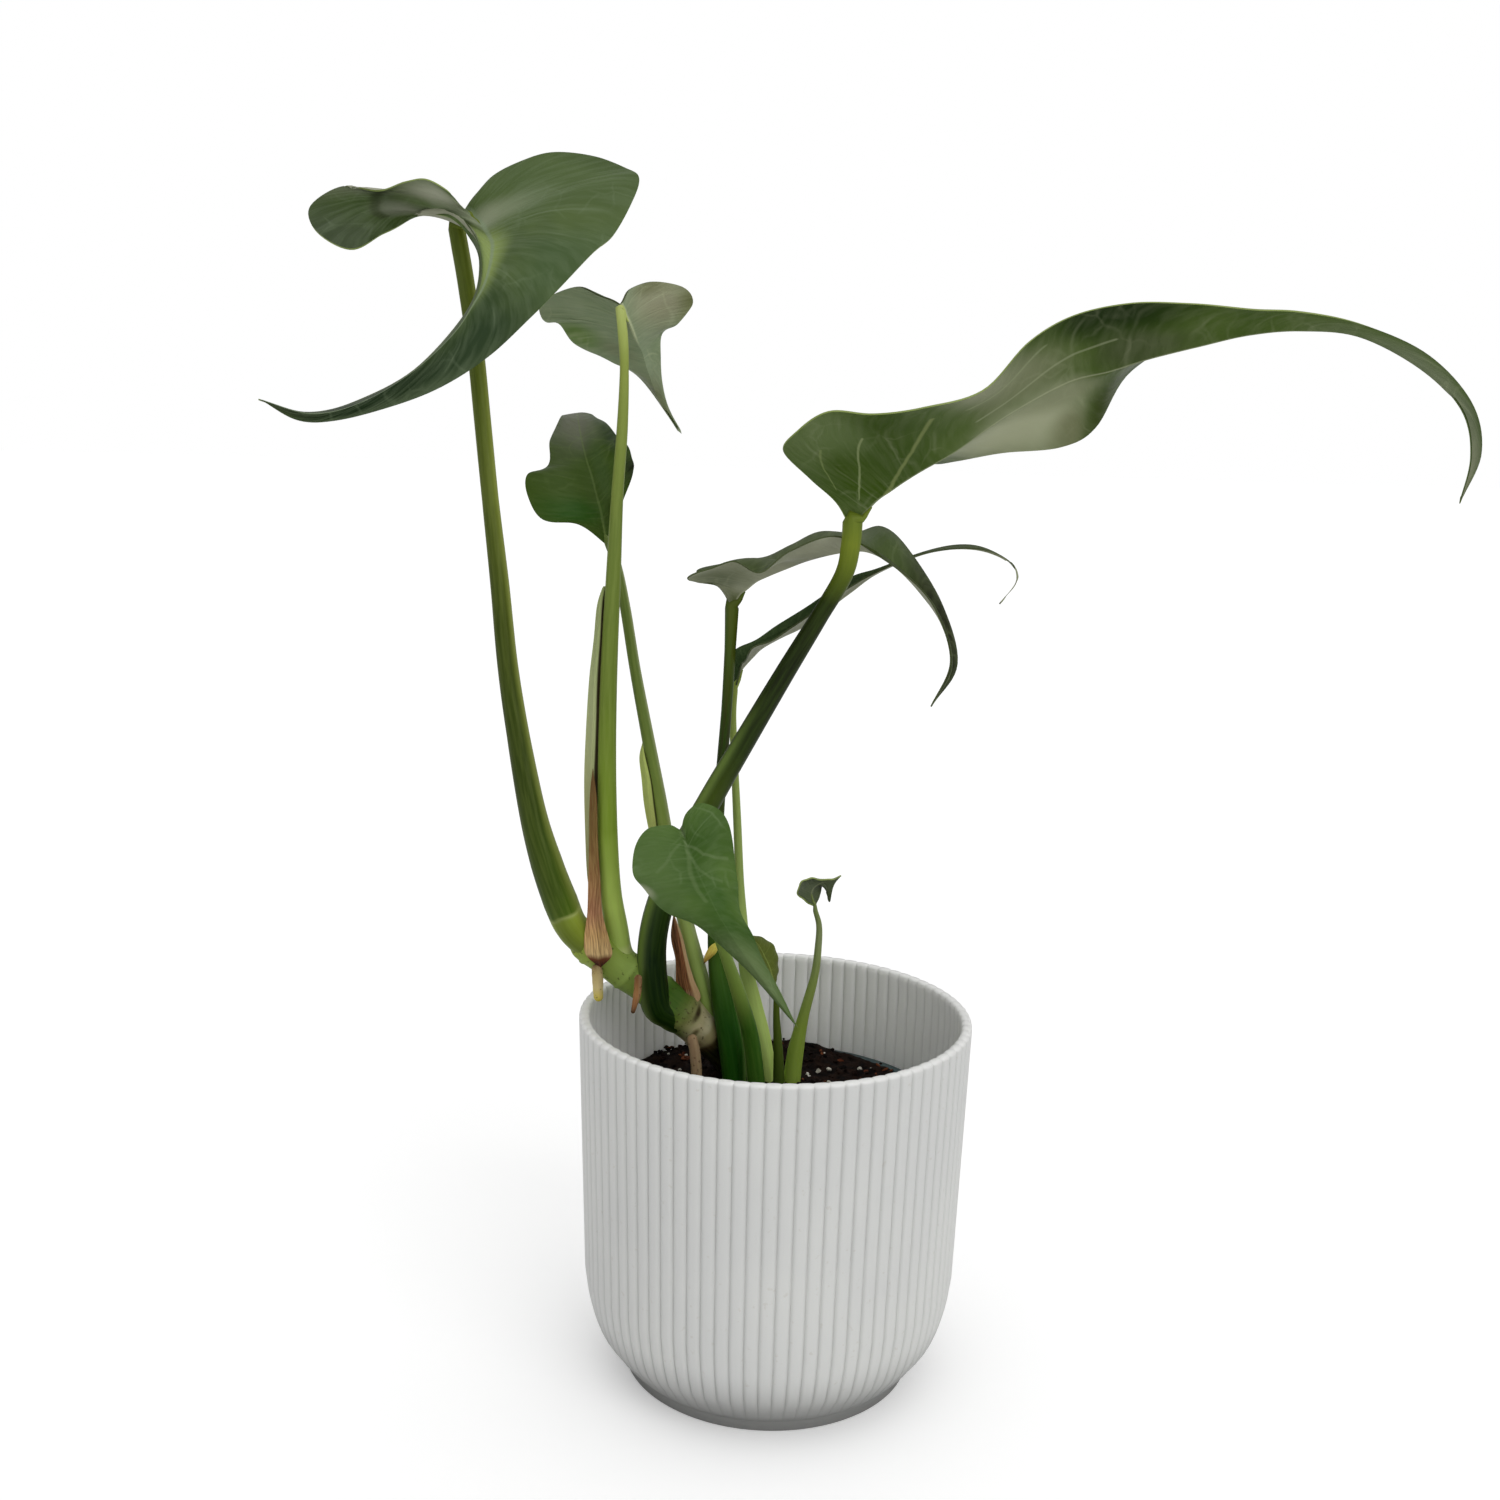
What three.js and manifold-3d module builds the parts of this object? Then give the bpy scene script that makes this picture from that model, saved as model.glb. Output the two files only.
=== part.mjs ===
// A young potted aroid with nine heart-shaped leaves that end in long drip tips. Its stalks rise from one
// creeping stem and from the soil of a nursery pot, which stands in a ribbed cover pot.
// Millimetres, +Z up. The origin is the middle of the foot that the pot stands on, and the photo's
// viewer is on the -Y side.

import * as THREE from "three";
import { mergeVertices } from "three/addons/utils/BufferGeometryUtils.js";
import Module from "manifold-3d";

const wasm = await Module();
wasm.setup();

// Cover pot
const POT_HEIGHT = 132;
const POT_RIM_RADIUS = 70;
const POT_WALL = 3.1;
const POT_FOOT_RADIUS = 52;
const POT_FOOT_HEIGHT = 4.5;
const RIBS = 84;
const GROOVE_DEPTH = 0.9;
const INNER_GROOVE_DEPTH = 0.5;
const GROOVE_HALF_WIDTH = 0.22; // as a share of a rib's pitch
const FIRST_GROOVE = THREE.MathUtils.degToRad(2.31); // turned from -Y towards +X
const POT_FLOOR = 7;

// Nursery pot and soil
const NURSERY_FLANGE_Z = 96;
const NURSERY_FLANGE_RADIUS = 63.5;
const NURSERY_RADIUS = 61;
const NURSERY_BASE_RADIUS = 46;
const NURSERY_WALL = 1.2;
const SOIL_EDGE_Z = 97.6;
const SOIL_MIDDLE_Z = 99.5;
const SOIL_SPILL_RADIUS = 65;
const SOIL_LUMP = 0.7;

// Leaves and stalks
const BLADE_THICKNESS = 0.8;
const BLADE_ARCH = 0.07; // rise of each half between midrib and margin, as a share of its width
const GAP = 0.3; // between pieces that touch
const STALK_SIDES = 8;
const THICK_STALK = 5;
const THICK_STALK_SIDES = 10;

// Materials: colour, roughness
const CERAMIC = [0xc9c9c6, 0.55];
const BLACK_PLASTIC = [0x1d2424, 0.5];
const SOIL = [0x1c1512, 0.95];
const LEAF_GREEN = [0x42592f, 0.4];
const STALK_GREEN = [0x6f8a35, 0.45];
const DARK_STALK_GREEN = [0x3f5420, 0.45];
const PALE_SHEATH = [0x9aab6a, 0.5];
const DRY_BROWN = [0x9a6a45, 0.8];
const ROOT_TAN = [0xa8875a, 0.8];
const YELLOW = [0xb9a23a, 0.6];
const DARK_STALKS = ["d", "e", "f"];
const SCALE_FINISHES = {
  sheath_b: PALE_SHEATH,
  sheath_c: PALE_SHEATH,
  cataphyll_1: DRY_BROWN,
  cataphyll_2: DRY_BROWN,
  bract: YELLOW,
};

// A leaf is three curves from the top of its stalk to its tip: its left margin, its midrib and its right
// margin, seen on its upper face with the tip ahead. The margins run out round the basal lobes first.
// middleRight bends the right half of a leaf between midrib and margin.
const LEAVES = {
  a: {
    rows: 26,
    left: [
      [-111, 5, 405.5], [-107, 4, 410.5], [-101.5, 4, 416.5], [-92.5, 5, 421], [-81.5, 7, 424.5],
      [-68, 8, 424], [-57.5, 7, 420], [-53, 4, 416], [-55, -2, 407.5], [-60, -8, 397], [-66, -13, 390.5],
      [-75, -18, 380], [-84.5, -24, 369], [-96.5, -30, 356.5], [-111, -37, 346], [-127, -42, 339],
      [-141.5, -46, 335], [-153, -48, 335], [-164, -50, 341],
    ],
    mid: [
      [-111, 5, 405.5], [-109.5, 4, 404.5], [-108.5, 3, 404], [-107.5, 2, 402.5], [-106, 1, 401.5],
      [-105, 0, 400.5], [-103.5, -2, 399], [-102.5, -4, 397.5], [-101, -6, 395.5], [-99.5, -9, 393],
      [-99, -12, 390], [-99, -16, 385.5], [-100, -21, 379], [-102.5, -26, 372.5], [-107.5, -32, 363],
      [-118.5, -39, 351], [-133.5, -44, 341], [-148, -48, 337], [-164, -50, 341],
    ],
    middleRight: [
      [-111, 5, 405.5], [-112.5, 1, 407], [-114.5, -1, 408], [-118.5, 1, 408.5], [-122.5, 4, 409],
      [-129, 8, 409], [-134, 10, 408], [-133.5, 11, 406], [-129.5, 10, 405], [-123.5, 8, 404],
      [-116, 3, 403.5], [-109, -3, 400.5], [-103.5, -10, 392], [-102.5, -14, 381.5], [-107.5, -20, 368],
      [-120, -29, 352], [-136.5, -37, 341.5], [-150.5, -45, 337.5], [-164, -50, 341],
    ],
    right: [
      [-111, 5, 405.5], [-115, -3, 410], [-121.5, -6, 413], [-129, -3, 412], [-140, 8, 411],
      [-154.5, 16, 413.5], [-166, 14, 406.5], [-159.5, 2, 397], [-146, -6, 390.5], [-137, 3, 397.5],
      [-126.5, 8, 403.5], [-116, 2, 402.5], [-108, -4, 396], [-105, -4, 387], [-108, -8, 372],
      [-122.5, -18, 352.5], [-140, -30, 341.5], [-152.5, -42, 337.5], [-164, -50, 341],
    ],
  },
  b: {
    rows: 14,
    left: [
      [-58.5, 0, 376], [-66, 6, 379.5], [-75.5, 12, 382], [-87, 17, 377.5], [-87, 18, 372],
      [-81.5, 18, 370.5], [-76, 19, 364], [-68, 19, 359], [-52, 24, 349.5], [-39.5, 30, 334.5],
    ],
    mid: [
      [-58.5, 0, 376], [-57.5, 1, 374.5], [-56.5, 2, 372], [-55.5, 3, 370], [-54.5, 5, 367.5],
      [-53.5, 8, 364.5], [-52, 12, 361], [-50.5, 16, 355.5], [-46.5, 24, 345], [-39.5, 30, 334.5],
    ],
    right: [
      [-58.5, 0, 376], [-55.5, 6, 381.5], [-48.5, 12, 384.5], [-38.5, 16, 383], [-35.5, 18, 378],
      [-40.5, 18, 372], [-46, 18, 367.5], [-46.5, 20, 359], [-45, 26, 346], [-39.5, 30, 334.5],
    ],
  },
  c: {
    rows: 14,
    left: [
      [-64, 15, 298], [-75.5, 10, 300.5], [-85, 7, 304], [-90.5, 8, 312], [-91, 11, 319],
      [-84.5, 16, 323], [-85, 23, 331], [-83, 32, 338.5], [-81.5, 42, 339.5], [-81.5, 51, 337],
      [-79, 58, 331.5],
    ],
    mid: [
      [-64, 15, 298], [-65, 15, 302], [-66, 15, 307], [-67.5, 16, 312], [-69.5, 18, 318.5],
      [-72, 21, 325], [-74.5, 26, 332.5], [-76.5, 33, 339], [-78, 42, 341], [-79.5, 52, 338.5],
      [-79, 58, 331.5],
    ],
    right: [
      [-64, 15, 298], [-61, 16, 303.5], [-57.5, 17, 313], [-55, 18, 322], [-56, 21, 326],
      [-58.5, 25, 330.5], [-63.5, 30, 334.5], [-69, 37, 339], [-73.5, 45, 340.5], [-77, 53, 337.5],
      [-79, 58, 331.5],
    ],
  },
  d: {
    rows: 14,
    left: [
      [-32.5, -36, 206], [-31.5, -35, 211.5], [-26, -35, 215], [-19.5, -36, 212.5], [-15.5, -37, 203],
      [-14, -39, 190.5], [-12, -41, 180], [-7.5, -42, 171], [-1, -43, 158.5], [7.5, -42, 141.5],
    ],
    mid: [
      [-32.5, -36, 206], [-31.5, -38, 204.5], [-30.5, -40, 202.5], [-29, -42, 199.5], [-27, -44, 195],
      [-23.5, -46, 188.5], [-19.5, -47, 181], [-14, -47, 172.5], [-6.5, -46, 161.5], [7.5, -42, 141.5],
    ],
    right: [
      [-32.5, -36, 206], [-37, -36, 207.5], [-43.5, -37, 206.5], [-48, -38, 199.5], [-48, -39, 192],
      [-44.5, -40, 186.5], [-36, -41, 179], [-24, -42, 173.5], [-10.5, -43, 161.5], [7.5, -42, 141.5],
    ],
  },
  e: {
    rows: 28,
    left: [
      [22, -8, 307.5], [22, 1, 315], [20, 14, 323.5], [21.5, 26, 330.5], [29.5, 32, 334], [40, 31, 331.5],
      [49, 25, 327], [57.5, 17, 327.5], [72.5, 9, 331], [90.5, 3, 333.5], [101, 0, 340], [110, -5, 357.5],
      [127, -12, 369.5], [143, -22, 373], [156, -32, 373], [174, -35, 370.5], [194, -36, 361.5],
      [208.5, -36, 348], [213.5, -36, 333.5], [209.5, -35, 318.5],
    ],
    mid: [
      [22, -8, 307.5], [24.5, -8, 310], [27, -8, 312.5], [29.5, -8.5, 315], [33, -9, 317.5],
      [37, -10, 320.5], [43, -11, 324.5], [53.5, -13, 331], [69.5, -16, 343], [87.5, -20, 353.5],
      [100, -24, 357], [111.5, -28, 361], [126, -32, 365], [140, -35, 368.5], [155, -37, 370],
      [173, -38, 368.5], [193, -38, 359], [206.5, -37, 347], [211, -36, 333], [209.5, -35, 318.5],
    ],
    right: [
      [22, -8, 307.5], [13.5, -13, 313], [3.5, -19, 321], [-3, -27, 329.5], [1.5, -36, 336],
      [11, -41, 341.5], [24.5, -40, 341.5], [41, -36, 344.5], [60, -30, 350], [73.5, -30, 365],
      [86.5, -32, 373.5], [102.5, -36, 377], [120, -40, 376.5], [137.5, -42, 375.5], [153, -41, 375.5],
      [172.5, -39, 372], [194, -38, 363.5], [210, -37, 349.5], [215.5, -36, 334], [209.5, -35, 318.5],
    ],
  },
  f: {
    rows: 18,
    left: [
      [-18.5, 8, 277.5], [-24.5, 14, 284.5], [-32.5, 20, 286.5], [-27.5, 25, 288.5], [-19.5, 29, 290.5],
      [-8.5, 31, 291.5], [0, 32, 296.5], [10, 30, 301], [22, 26, 301.5], [32, 19, 304.5],
      [41.5, 12, 296.5], [53, 4, 280], [58.5, -3, 259.5], [50, -8, 245],
    ],
    mid: [
      [-18.5, 8, 277.5], [-16.5, 8, 280], [-14, 8, 282.5], [-11, 8, 285], [-7, 8, 287], [-1.5, 7, 289.5],
      [7, 6, 293], [18, 4, 296], [27, 2, 296.5], [36, 0, 292], [45, -2, 283.5], [53, -4, 272.5],
      [56.5, -6, 258.5], [50, -8, 245],
    ],
    right: [
      [-18.5, 8, 277.5], [-24, 2, 283], [-30.5, -3, 284.5], [-34, -8, 286.5], [-27, -12, 290],
      [-18.5, -15, 293.5], [-9.5, -17, 289.5], [-0.5, -13, 297], [13.5, -6, 301.5], [26, -2, 298],
      [39, -5, 290], [50, -8, 278], [56, -8, 261], [50, -8, 245],
    ],
  },
  g: {
    rows: 16,
    left: [
      [-18, 20, 248.5], [-20.5, 27, 251.5], [-20.5, 34, 255], [-16.5, 38, 258.5], [-10, 40, 261.5],
      [-3.5, 40, 266], [6, 37, 273.5], [20.5, 31, 284], [31, 26, 289], [49, 21, 296.5], [65, 18, 298.5],
      [76.5, 15, 294], [79.5, 14, 287], [73.5, 12, 279],
    ],
    mid: [
      [-18, 20, 248.5], [-16.5, 20, 251], [-15, 20, 253.5], [-12, 20, 257], [-8.5, 20, 260.5],
      [-2, 19, 264.5], [7, 18, 269.5], [21, 18, 280.5], [32, 20, 288.5], [49.5, 19, 296], [65, 17, 297.5],
      [76.5, 15, 293.5], [79.5, 14, 286.5], [73.5, 12, 279],
    ],
    right: [
      [-18, 20, 248.5], [-16, 15, 254], [-14.5, 9, 257], [-13, 3, 260.5], [-10, 1, 263.5], [-4, 0, 266.5],
      [5.5, 1, 272.5], [20, 8, 283.5], [30.5, 14, 288.5], [48.5, 17, 296], [64.5, 16, 298],
      [76.5, 15, 293.5], [79.5, 14, 286.5], [73.5, 12, 279],
    ],
  },
  h: {
    rows: 8,
    left: [
      [-0.5, 4, 140], [-3.5, 0, 143.5], [-7.5, 0, 148.5], [-10, 4, 153], [-10.5, 9, 155.5],
      [-11, 14, 156],
    ],
    mid: [
      [-0.5, 4, 140], [-1.5, 4, 143.5], [-2.5, 5, 146.5], [-4.5, 7, 150], [-7, 10, 153.5],
      [-11, 14, 156],
    ],
    right: [
      [-0.5, 4, 140], [0.5, 8, 143], [0.5, 11, 147], [-1, 13, 152], [-5.5, 14, 155], [-11, 14, 156],
    ],
  },
  i: {
    rows: 10,
    left: [
      [13, 18, 166], [14.5, 22, 167.5], [15, 25, 169.5], [16, 27, 172], [18, 27, 171], [19, 26, 166],
      [20, 24, 173], [22.5, 23, 177],
    ],
    mid: [
      [13, 18, 166], [12, 18, 168], [11.5, 18, 170.5], [12, 19, 172.5], [13.5, 20, 174],
      [16, 21, 175], [19, 22, 175.5], [22.5, 23, 177],
    ],
    right: [
      [13, 18, 166], [9.5, 14, 169], [6.5, 12, 172.5], [7.5, 12, 176.5], [10.5, 14, 178],
      [14.5, 17, 177], [19, 21, 176], [22.5, 23, 177],
    ],
  },
};

// Sheaths and dried bracts are small leaves of the same kind, from one end to the other.
const SCALES = {
  sheath_b: {
    rows: 10,
    left: [
      [-63.5, 3, 282], [-65.5, 3, 275], [-66.5, 3, 263.5], [-68, 3, 249.5], [-69, 3, 231.5],
      [-69.5, 3, 214], [-69, 3, 195.5], [-68, 2, 179.5], [-66, 0, 170],
    ],
    mid: [
      [-63.5, 3, 282], [-64.5, 1, 275.5], [-65, 0, 263.5], [-66, 0, 250], [-66.5, 0, 232],
      [-67, 0, 214.5], [-67.5, 0, 196.5], [-67, -1, 180.5], [-66, 0, 170],
    ],
    right: [
      [-63.5, 3, 282], [-64, 3, 275], [-64.5, 2, 263.5], [-65, 2, 249.5], [-65, 2, 232],
      [-65.5, 2, 214], [-66, 1, 196.5], [-65.5, 0, 180], [-66, 0, 170],
    ],
  },
  sheath_c: {
    rows: 7,
    left: [
      [-50.5, 18, 225], [-51.5, 18, 219.5], [-50.5, 17, 211.5], [-49.5, 17, 202.5],
      [-47.5, 17, 192.5], [-44.5, 17, 182],
    ],
    mid: [
      [-50.5, 18, 225], [-50, 16, 220], [-48.5, 15, 212], [-47.5, 15, 203], [-45.5, 15, 193],
      [-44.5, 17, 182],
    ],
    right: [
      [-50.5, 18, 225], [-49, 16, 220], [-47, 16, 212], [-45.5, 16, 202.5], [-44.5, 16, 192.5],
      [-44.5, 17, 182],
    ],
  },
  cataphyll_1: {
    rows: 9,
    left: [
      [-66, -2, 219], [-67, -2, 207.5], [-67, -2, 193.5], [-67.5, -3, 179], [-68, -4, 167.5],
      [-69, -4, 158], [-68, -4, 152], [-62.5, -4, 147.5],
    ],
    mid: [
      [-66, -2, 219], [-65.5, -3, 208], [-65.5, -3, 193.5], [-64.5, -4, 179.5], [-64.5, -5, 168],
      [-63.5, -6, 159], [-63, -5.5, 152.5], [-62.5, -4, 147.5],
    ],
    right: [
      [-66, -2, 219], [-64.5, -2.5, 208], [-64, -2.5, 193.5], [-63, -3, 179.5], [-61.5, -3, 167.5],
      [-59, -3, 158], [-58, -3, 152], [-62.5, -4, 147.5],
    ],
  },
  cataphyll_2: {
    rows: 7,
    left: [
      [-37, 13, 159.5], [-38, 13, 153.5], [-36.6, 12, 146], [-36.2, 11, 138.5], [-35.4, 11, 131.5],
      [-29.5, 11, 131],
    ],
    mid: [
      [-37, 13, 159.5], [-36.5, 12, 153.5], [-34.9, 11, 146], [-33.6, 10, 138.5], [-31.8, 10, 132],
      [-29.5, 11, 131],
    ],
    right: [
      [-37, 13, 159.5], [-35, 13, 153.5], [-33.2, 13, 146], [-31, 13, 138.5], [-28.4, 13, 133],
      [-29.5, 11, 131],
    ],
  },
  bract: {
    rows: 5,
    left: [[-26.5, 11, 145.5], [-26, 9, 149], [-24, 8, 153], [-20.5, 7, 155.5]],
    mid: [[-26.5, 11, 145.5], [-25, 8, 149], [-23, 7, 152.2], [-20.5, 7, 155.5]],
    right: [[-26.5, 11, 145.5], [-24, 9, 148.5], [-21.8, 7, 151.4], [-20.5, 7, 155.5]],
  },
};

// A stalk is a curve of points x, y, z and its radius there, from its foot to its top.
const STEM = [
  [-72.5, 2, 159, 6.4], [-65.5, 4, 152.5, 7], [-57.5, 6, 146, 7], [-49, 8, 139, 6.9], [-41, 10, 132, 7.3],
  [-32, 13, 123.5, 7.7], [-23.5, 20, 114, 7.4], [-15.5, 27, 102.5, 6.8], [-10.5, 30, 88.5, 6.5],
];

const STALKS = {
  a: [
    [-73.5, 1, 161, 5.9], [-77.5, 0, 170.5, 6.2], [-82.5, 0, 184.5, 5.7], [-87.5, 1, 202, 4.8],
    [-93, 3, 229.5, 4], [-97, 5, 254, 3.6], [-100, 7, 281.5, 3.3], [-103.5, 9, 310, 2.9],
    [-106.5, 11, 337, 2.9], [-109, 12, 360.5, 2.9], [-112, 12, 382, 2.9], [-113.5, 9, 394, 2.9],
    [-114.5, 8, 400.5, 2.8],
  ],
  b: [
    [-56, 6, 149, 4.5], [-58, 5, 160.5, 4.1], [-60, 3, 174, 3.9], [-61, 2, 192.5, 3.6],
    [-61.5, 2, 214, 3.3], [-61.5, 2, 235.5, 3.1], [-61, 2, 260, 2.9], [-60, 2, 284.5, 2.6],
    [-59, 2, 311.5, 2.1], [-57.5, 2, 335, 1.9], [-57, 2, 354.5, 1.5], [-57.5, 1, 366, 1.7],
    [-58.5, 0, 374.5, 1.5],
  ],
  c: [
    [-26, 16, 132, 2.9], [-29.5, 17, 144, 2.9], [-33, 18, 155.5, 2.9], [-37, 18, 170.5, 2.9],
    [-41, 18, 187.5, 2.8], [-44.5, 18, 206, 2.6], [-48.5, 18, 226, 2.3], [-53.5, 18, 251, 2],
    [-57, 17, 272, 1.9], [-60, 16, 287.5, 1.6], [-63, 15, 296, 1.6],
  ],
  d: [
    [-5, 3, 88, 3.3], [-6, 2, 101, 3.3], [-8.5, 0, 121, 3.1], [-12.5, -6, 138, 2.7],
    [-17, -12, 153.5, 2.1], [-22.5, -19, 170.5, 1.7], [-27.5, -25, 184.5, 1.3], [-31, -30, 196, 1.2],
    [-32.5, -33, 203, 1.2],
  ],
  e: [
    [-43.5, 6, 132.5, 5.8], [-45, 4, 152, 5.2], [-42, 2, 170, 5], [-34, -1, 190.5, 4.6],
    [-24, -3, 211, 4.2], [-12.5, -5, 232.5, 3.8], [0, -7, 255.5, 3.4], [11, -8, 275, 3],
    [18.5, -9, 289, 3.1], [21.3, -9, 298, 3.4], [22, -8, 304.5, 3.7],
  ],
  f: [
    [-13, 10, 88, 4.1], [-14, 10, 97, 4.1], [-16.5, 11, 114.5, 4.4], [-19.5, 12, 130, 4],
    [-22, 13, 146, 3.1], [-23, 13, 165, 2.5], [-23, 14, 187, 2.2], [-22, 14, 213, 2],
    [-20.5, 13, 238.5, 1.9], [-19.7, 12, 260, 2], [-19.4, 9.5, 274.5, 2.5],
  ],
  g: [
    [-0.5, 18, 88, 3], [-1, 18, 94.5, 3], [-4.5, 18, 114, 3.3], [-8.5, 18, 129.5, 3.1],
    [-11.5, 18, 143, 2.6], [-13, 19, 158, 2], [-14.5, 20, 174.5, 1.6], [-16, 21, 197, 1.5],
    [-17.5, 21, 219, 1.3], [-18.5, 21, 235.5, 1.3], [-18, 20, 246, 1.3],
  ],
  h: [[2, 8, 90, 2.2], [2, 8, 99, 2.2], [1.5, 7, 113, 1.8], [0.5, 6, 126.5, 1.3], [0, 4, 138.5, 0.9]],
  i: [
    [6.5, 18, 88, 3.4], [6.5, 18, 95, 3.4], [8, 18, 111, 3], [10.5, 18, 124.5, 2], [14, 18, 140, 1.5],
    [15, 18, 151.5, 1.3], [15, 18, 159, 1.1], [13.5, 18, 164.5, 0.9],
  ],
};

const ROOTS = {
  root_1: [[-64, -3, 148.5, 1.8], [-63.5, -4, 143, 2], [-63, -4, 135, 1.6]],
  root_2: [[-49, -3, 145, 1.4], [-49.5, -3, 137.5, 1.4], [-51, -3, 130.5, 0.7]],
  root_3: [[-30, 2, 121.5, 1.8], [-28.5, 1, 114, 2], [-27.5, 1, 100.5, 2], [-27, 1, 90, 1.8]],
};

// Closed meshes and solids

function meshGeometry(positions, triangles) {
  const geometry = new THREE.BufferGeometry();
  geometry.setAttribute("position", new THREE.Float32BufferAttribute(positions.flat(), 3));
  geometry.setIndex(triangles.flat());
  return geometry;
}

function toSolid(geometry) {
  const bare = geometry.clone();
  bare.deleteAttribute("normal");
  bare.deleteAttribute("uv");
  const merged = mergeVertices(bare, 1e-4);
  const mesh = new wasm.Mesh({
    numProp: 3,
    vertProperties: merged.attributes.position.array,
    triVerts: new Uint32Array(merged.index.array),
  });
  return new wasm.Manifold(mesh);
}

function toGeometry(solid) {
  const mesh = solid.getMesh();
  const geometry = new THREE.BufferGeometry();
  geometry.setAttribute("position", new THREE.BufferAttribute(mesh.vertProperties, 3));
  geometry.setIndex(new THREE.BufferAttribute(mesh.triVerts, 1));
  return geometry;
}

// The largest body left of a solid once the others are taken away from it.
function cutClear(solid, others) {
  const left = others.reduce((rest, other) => rest.subtract(other), solid);
  const bodies = left.decompose();
  return bodies.reduce((a, b) => (b.volume() > a.volume() ? b : a));
}

// Curves

function smoothCurve(points) {
  const places = points.map(([x, y, z]) => new THREE.Vector3(x, y, z));
  return new THREE.CatmullRomCurve3(places, false, "catmullrom", 0.5);
}

// A number that changes evenly between the values of a list, at t from 0 to 1.
function between(values, t) {
  const place = t * (values.length - 1);
  const i = Math.min(Math.floor(place), values.length - 2);
  return THREE.MathUtils.lerp(values[i], values[i + 1], place - i);
}

// A round stalk along a curve, with closed ends. It can be made larger all round by an extra width.
function stalkGeometry(points, extra) {
  const curve = smoothCurve(points);
  const radii = points.map((point) => point[3]);
  const steps = 2 * (points.length - 1);
  const sides = Math.max(...radii) > THICK_STALK ? THICK_STALK_SIDES : STALK_SIDES;
  const positions = [];
  const across = new THREE.Vector3(1, 0, 0);
  for (let i = 0; i <= steps; i++) {
    const t = i / steps;
    const along = curve.getTangent(t);
    across.addScaledVector(along, -across.dot(along)).normalize();
    const up = new THREE.Vector3().crossVectors(along, across);
    const beyond = i === 0 ? -extra : i === steps ? extra : 0;
    const centre = curve.getPoint(t).addScaledVector(along, beyond);
    const radius = between(radii, t) + extra;
    for (let j = 0; j < sides; j++) {
      const angle = (j / sides) * 2 * Math.PI;
      const place = centre.clone();
      place.addScaledVector(across, radius * Math.cos(angle));
      place.addScaledVector(up, radius * Math.sin(angle));
      positions.push(place.toArray());
    }
  }
  const triangles = [];
  for (let i = 0; i < steps; i++) {
    for (let j = 0; j < sides; j++) {
      const k = (j + 1) % sides;
      const [a, b, c, d] = [i * sides + j, i * sides + k, (i + 1) * sides + j, (i + 1) * sides + k];
      triangles.push([a, b, d], [a, d, c]);
    }
  }
  const top = steps * sides;
  for (let j = 1; j < sides - 1; j++) {
    triangles.push([0, j + 1, j], [top, top + j, top + j + 1]);
  }
  return meshGeometry(positions, triangles);
}

// Leaf blades

function bladeSurface(leaf) {
  const curves = Object.fromEntries(
    Object.entries(leaf)
      .filter(([, value]) => Array.isArray(value))
      .map(([name, points]) => [name, smoothCurve(points)]),
  );
  const halfway = (edge, v) => curves.mid.getPoint(v).lerp(edge.getPoint(v), 0.5);
  // The place on the middle of the blade's thickness: v runs from stalk to tip, s from -1 at the left
  // margin over 0 at the midrib to 1 at the right margin.
  return (v, s) => {
    const edge = s < 0 ? curves.left : curves.right;
    const bend = s < 0 ? curves.middleLeft : curves.middleRight;
    const h = Math.abs(s);
    const rib = curves.mid.getPoint(v);
    const margin = edge.getPoint(v);
    let middle;
    if (bend) {
      middle = bend.getPoint(v);
    } else {
      const step = 0.01;
      const ahead = halfway(edge, Math.min(v + step, 1)).sub(halfway(edge, Math.max(v - step, 0)));
      const across = margin.clone().sub(rib);
      const width = across.length();
      const up = across.multiplyScalar(Math.sign(s) || 1).cross(ahead).normalize();
      middle = halfway(edge, v).addScaledVector(up, BLADE_ARCH * width);
    }
    return rib
      .multiplyScalar((1 - h) * (1 - 2 * h))
      .addScaledVector(middle, 4 * h * (1 - h))
      .addScaledVector(margin, h * (2 * h - 1));
  };
}

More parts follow.
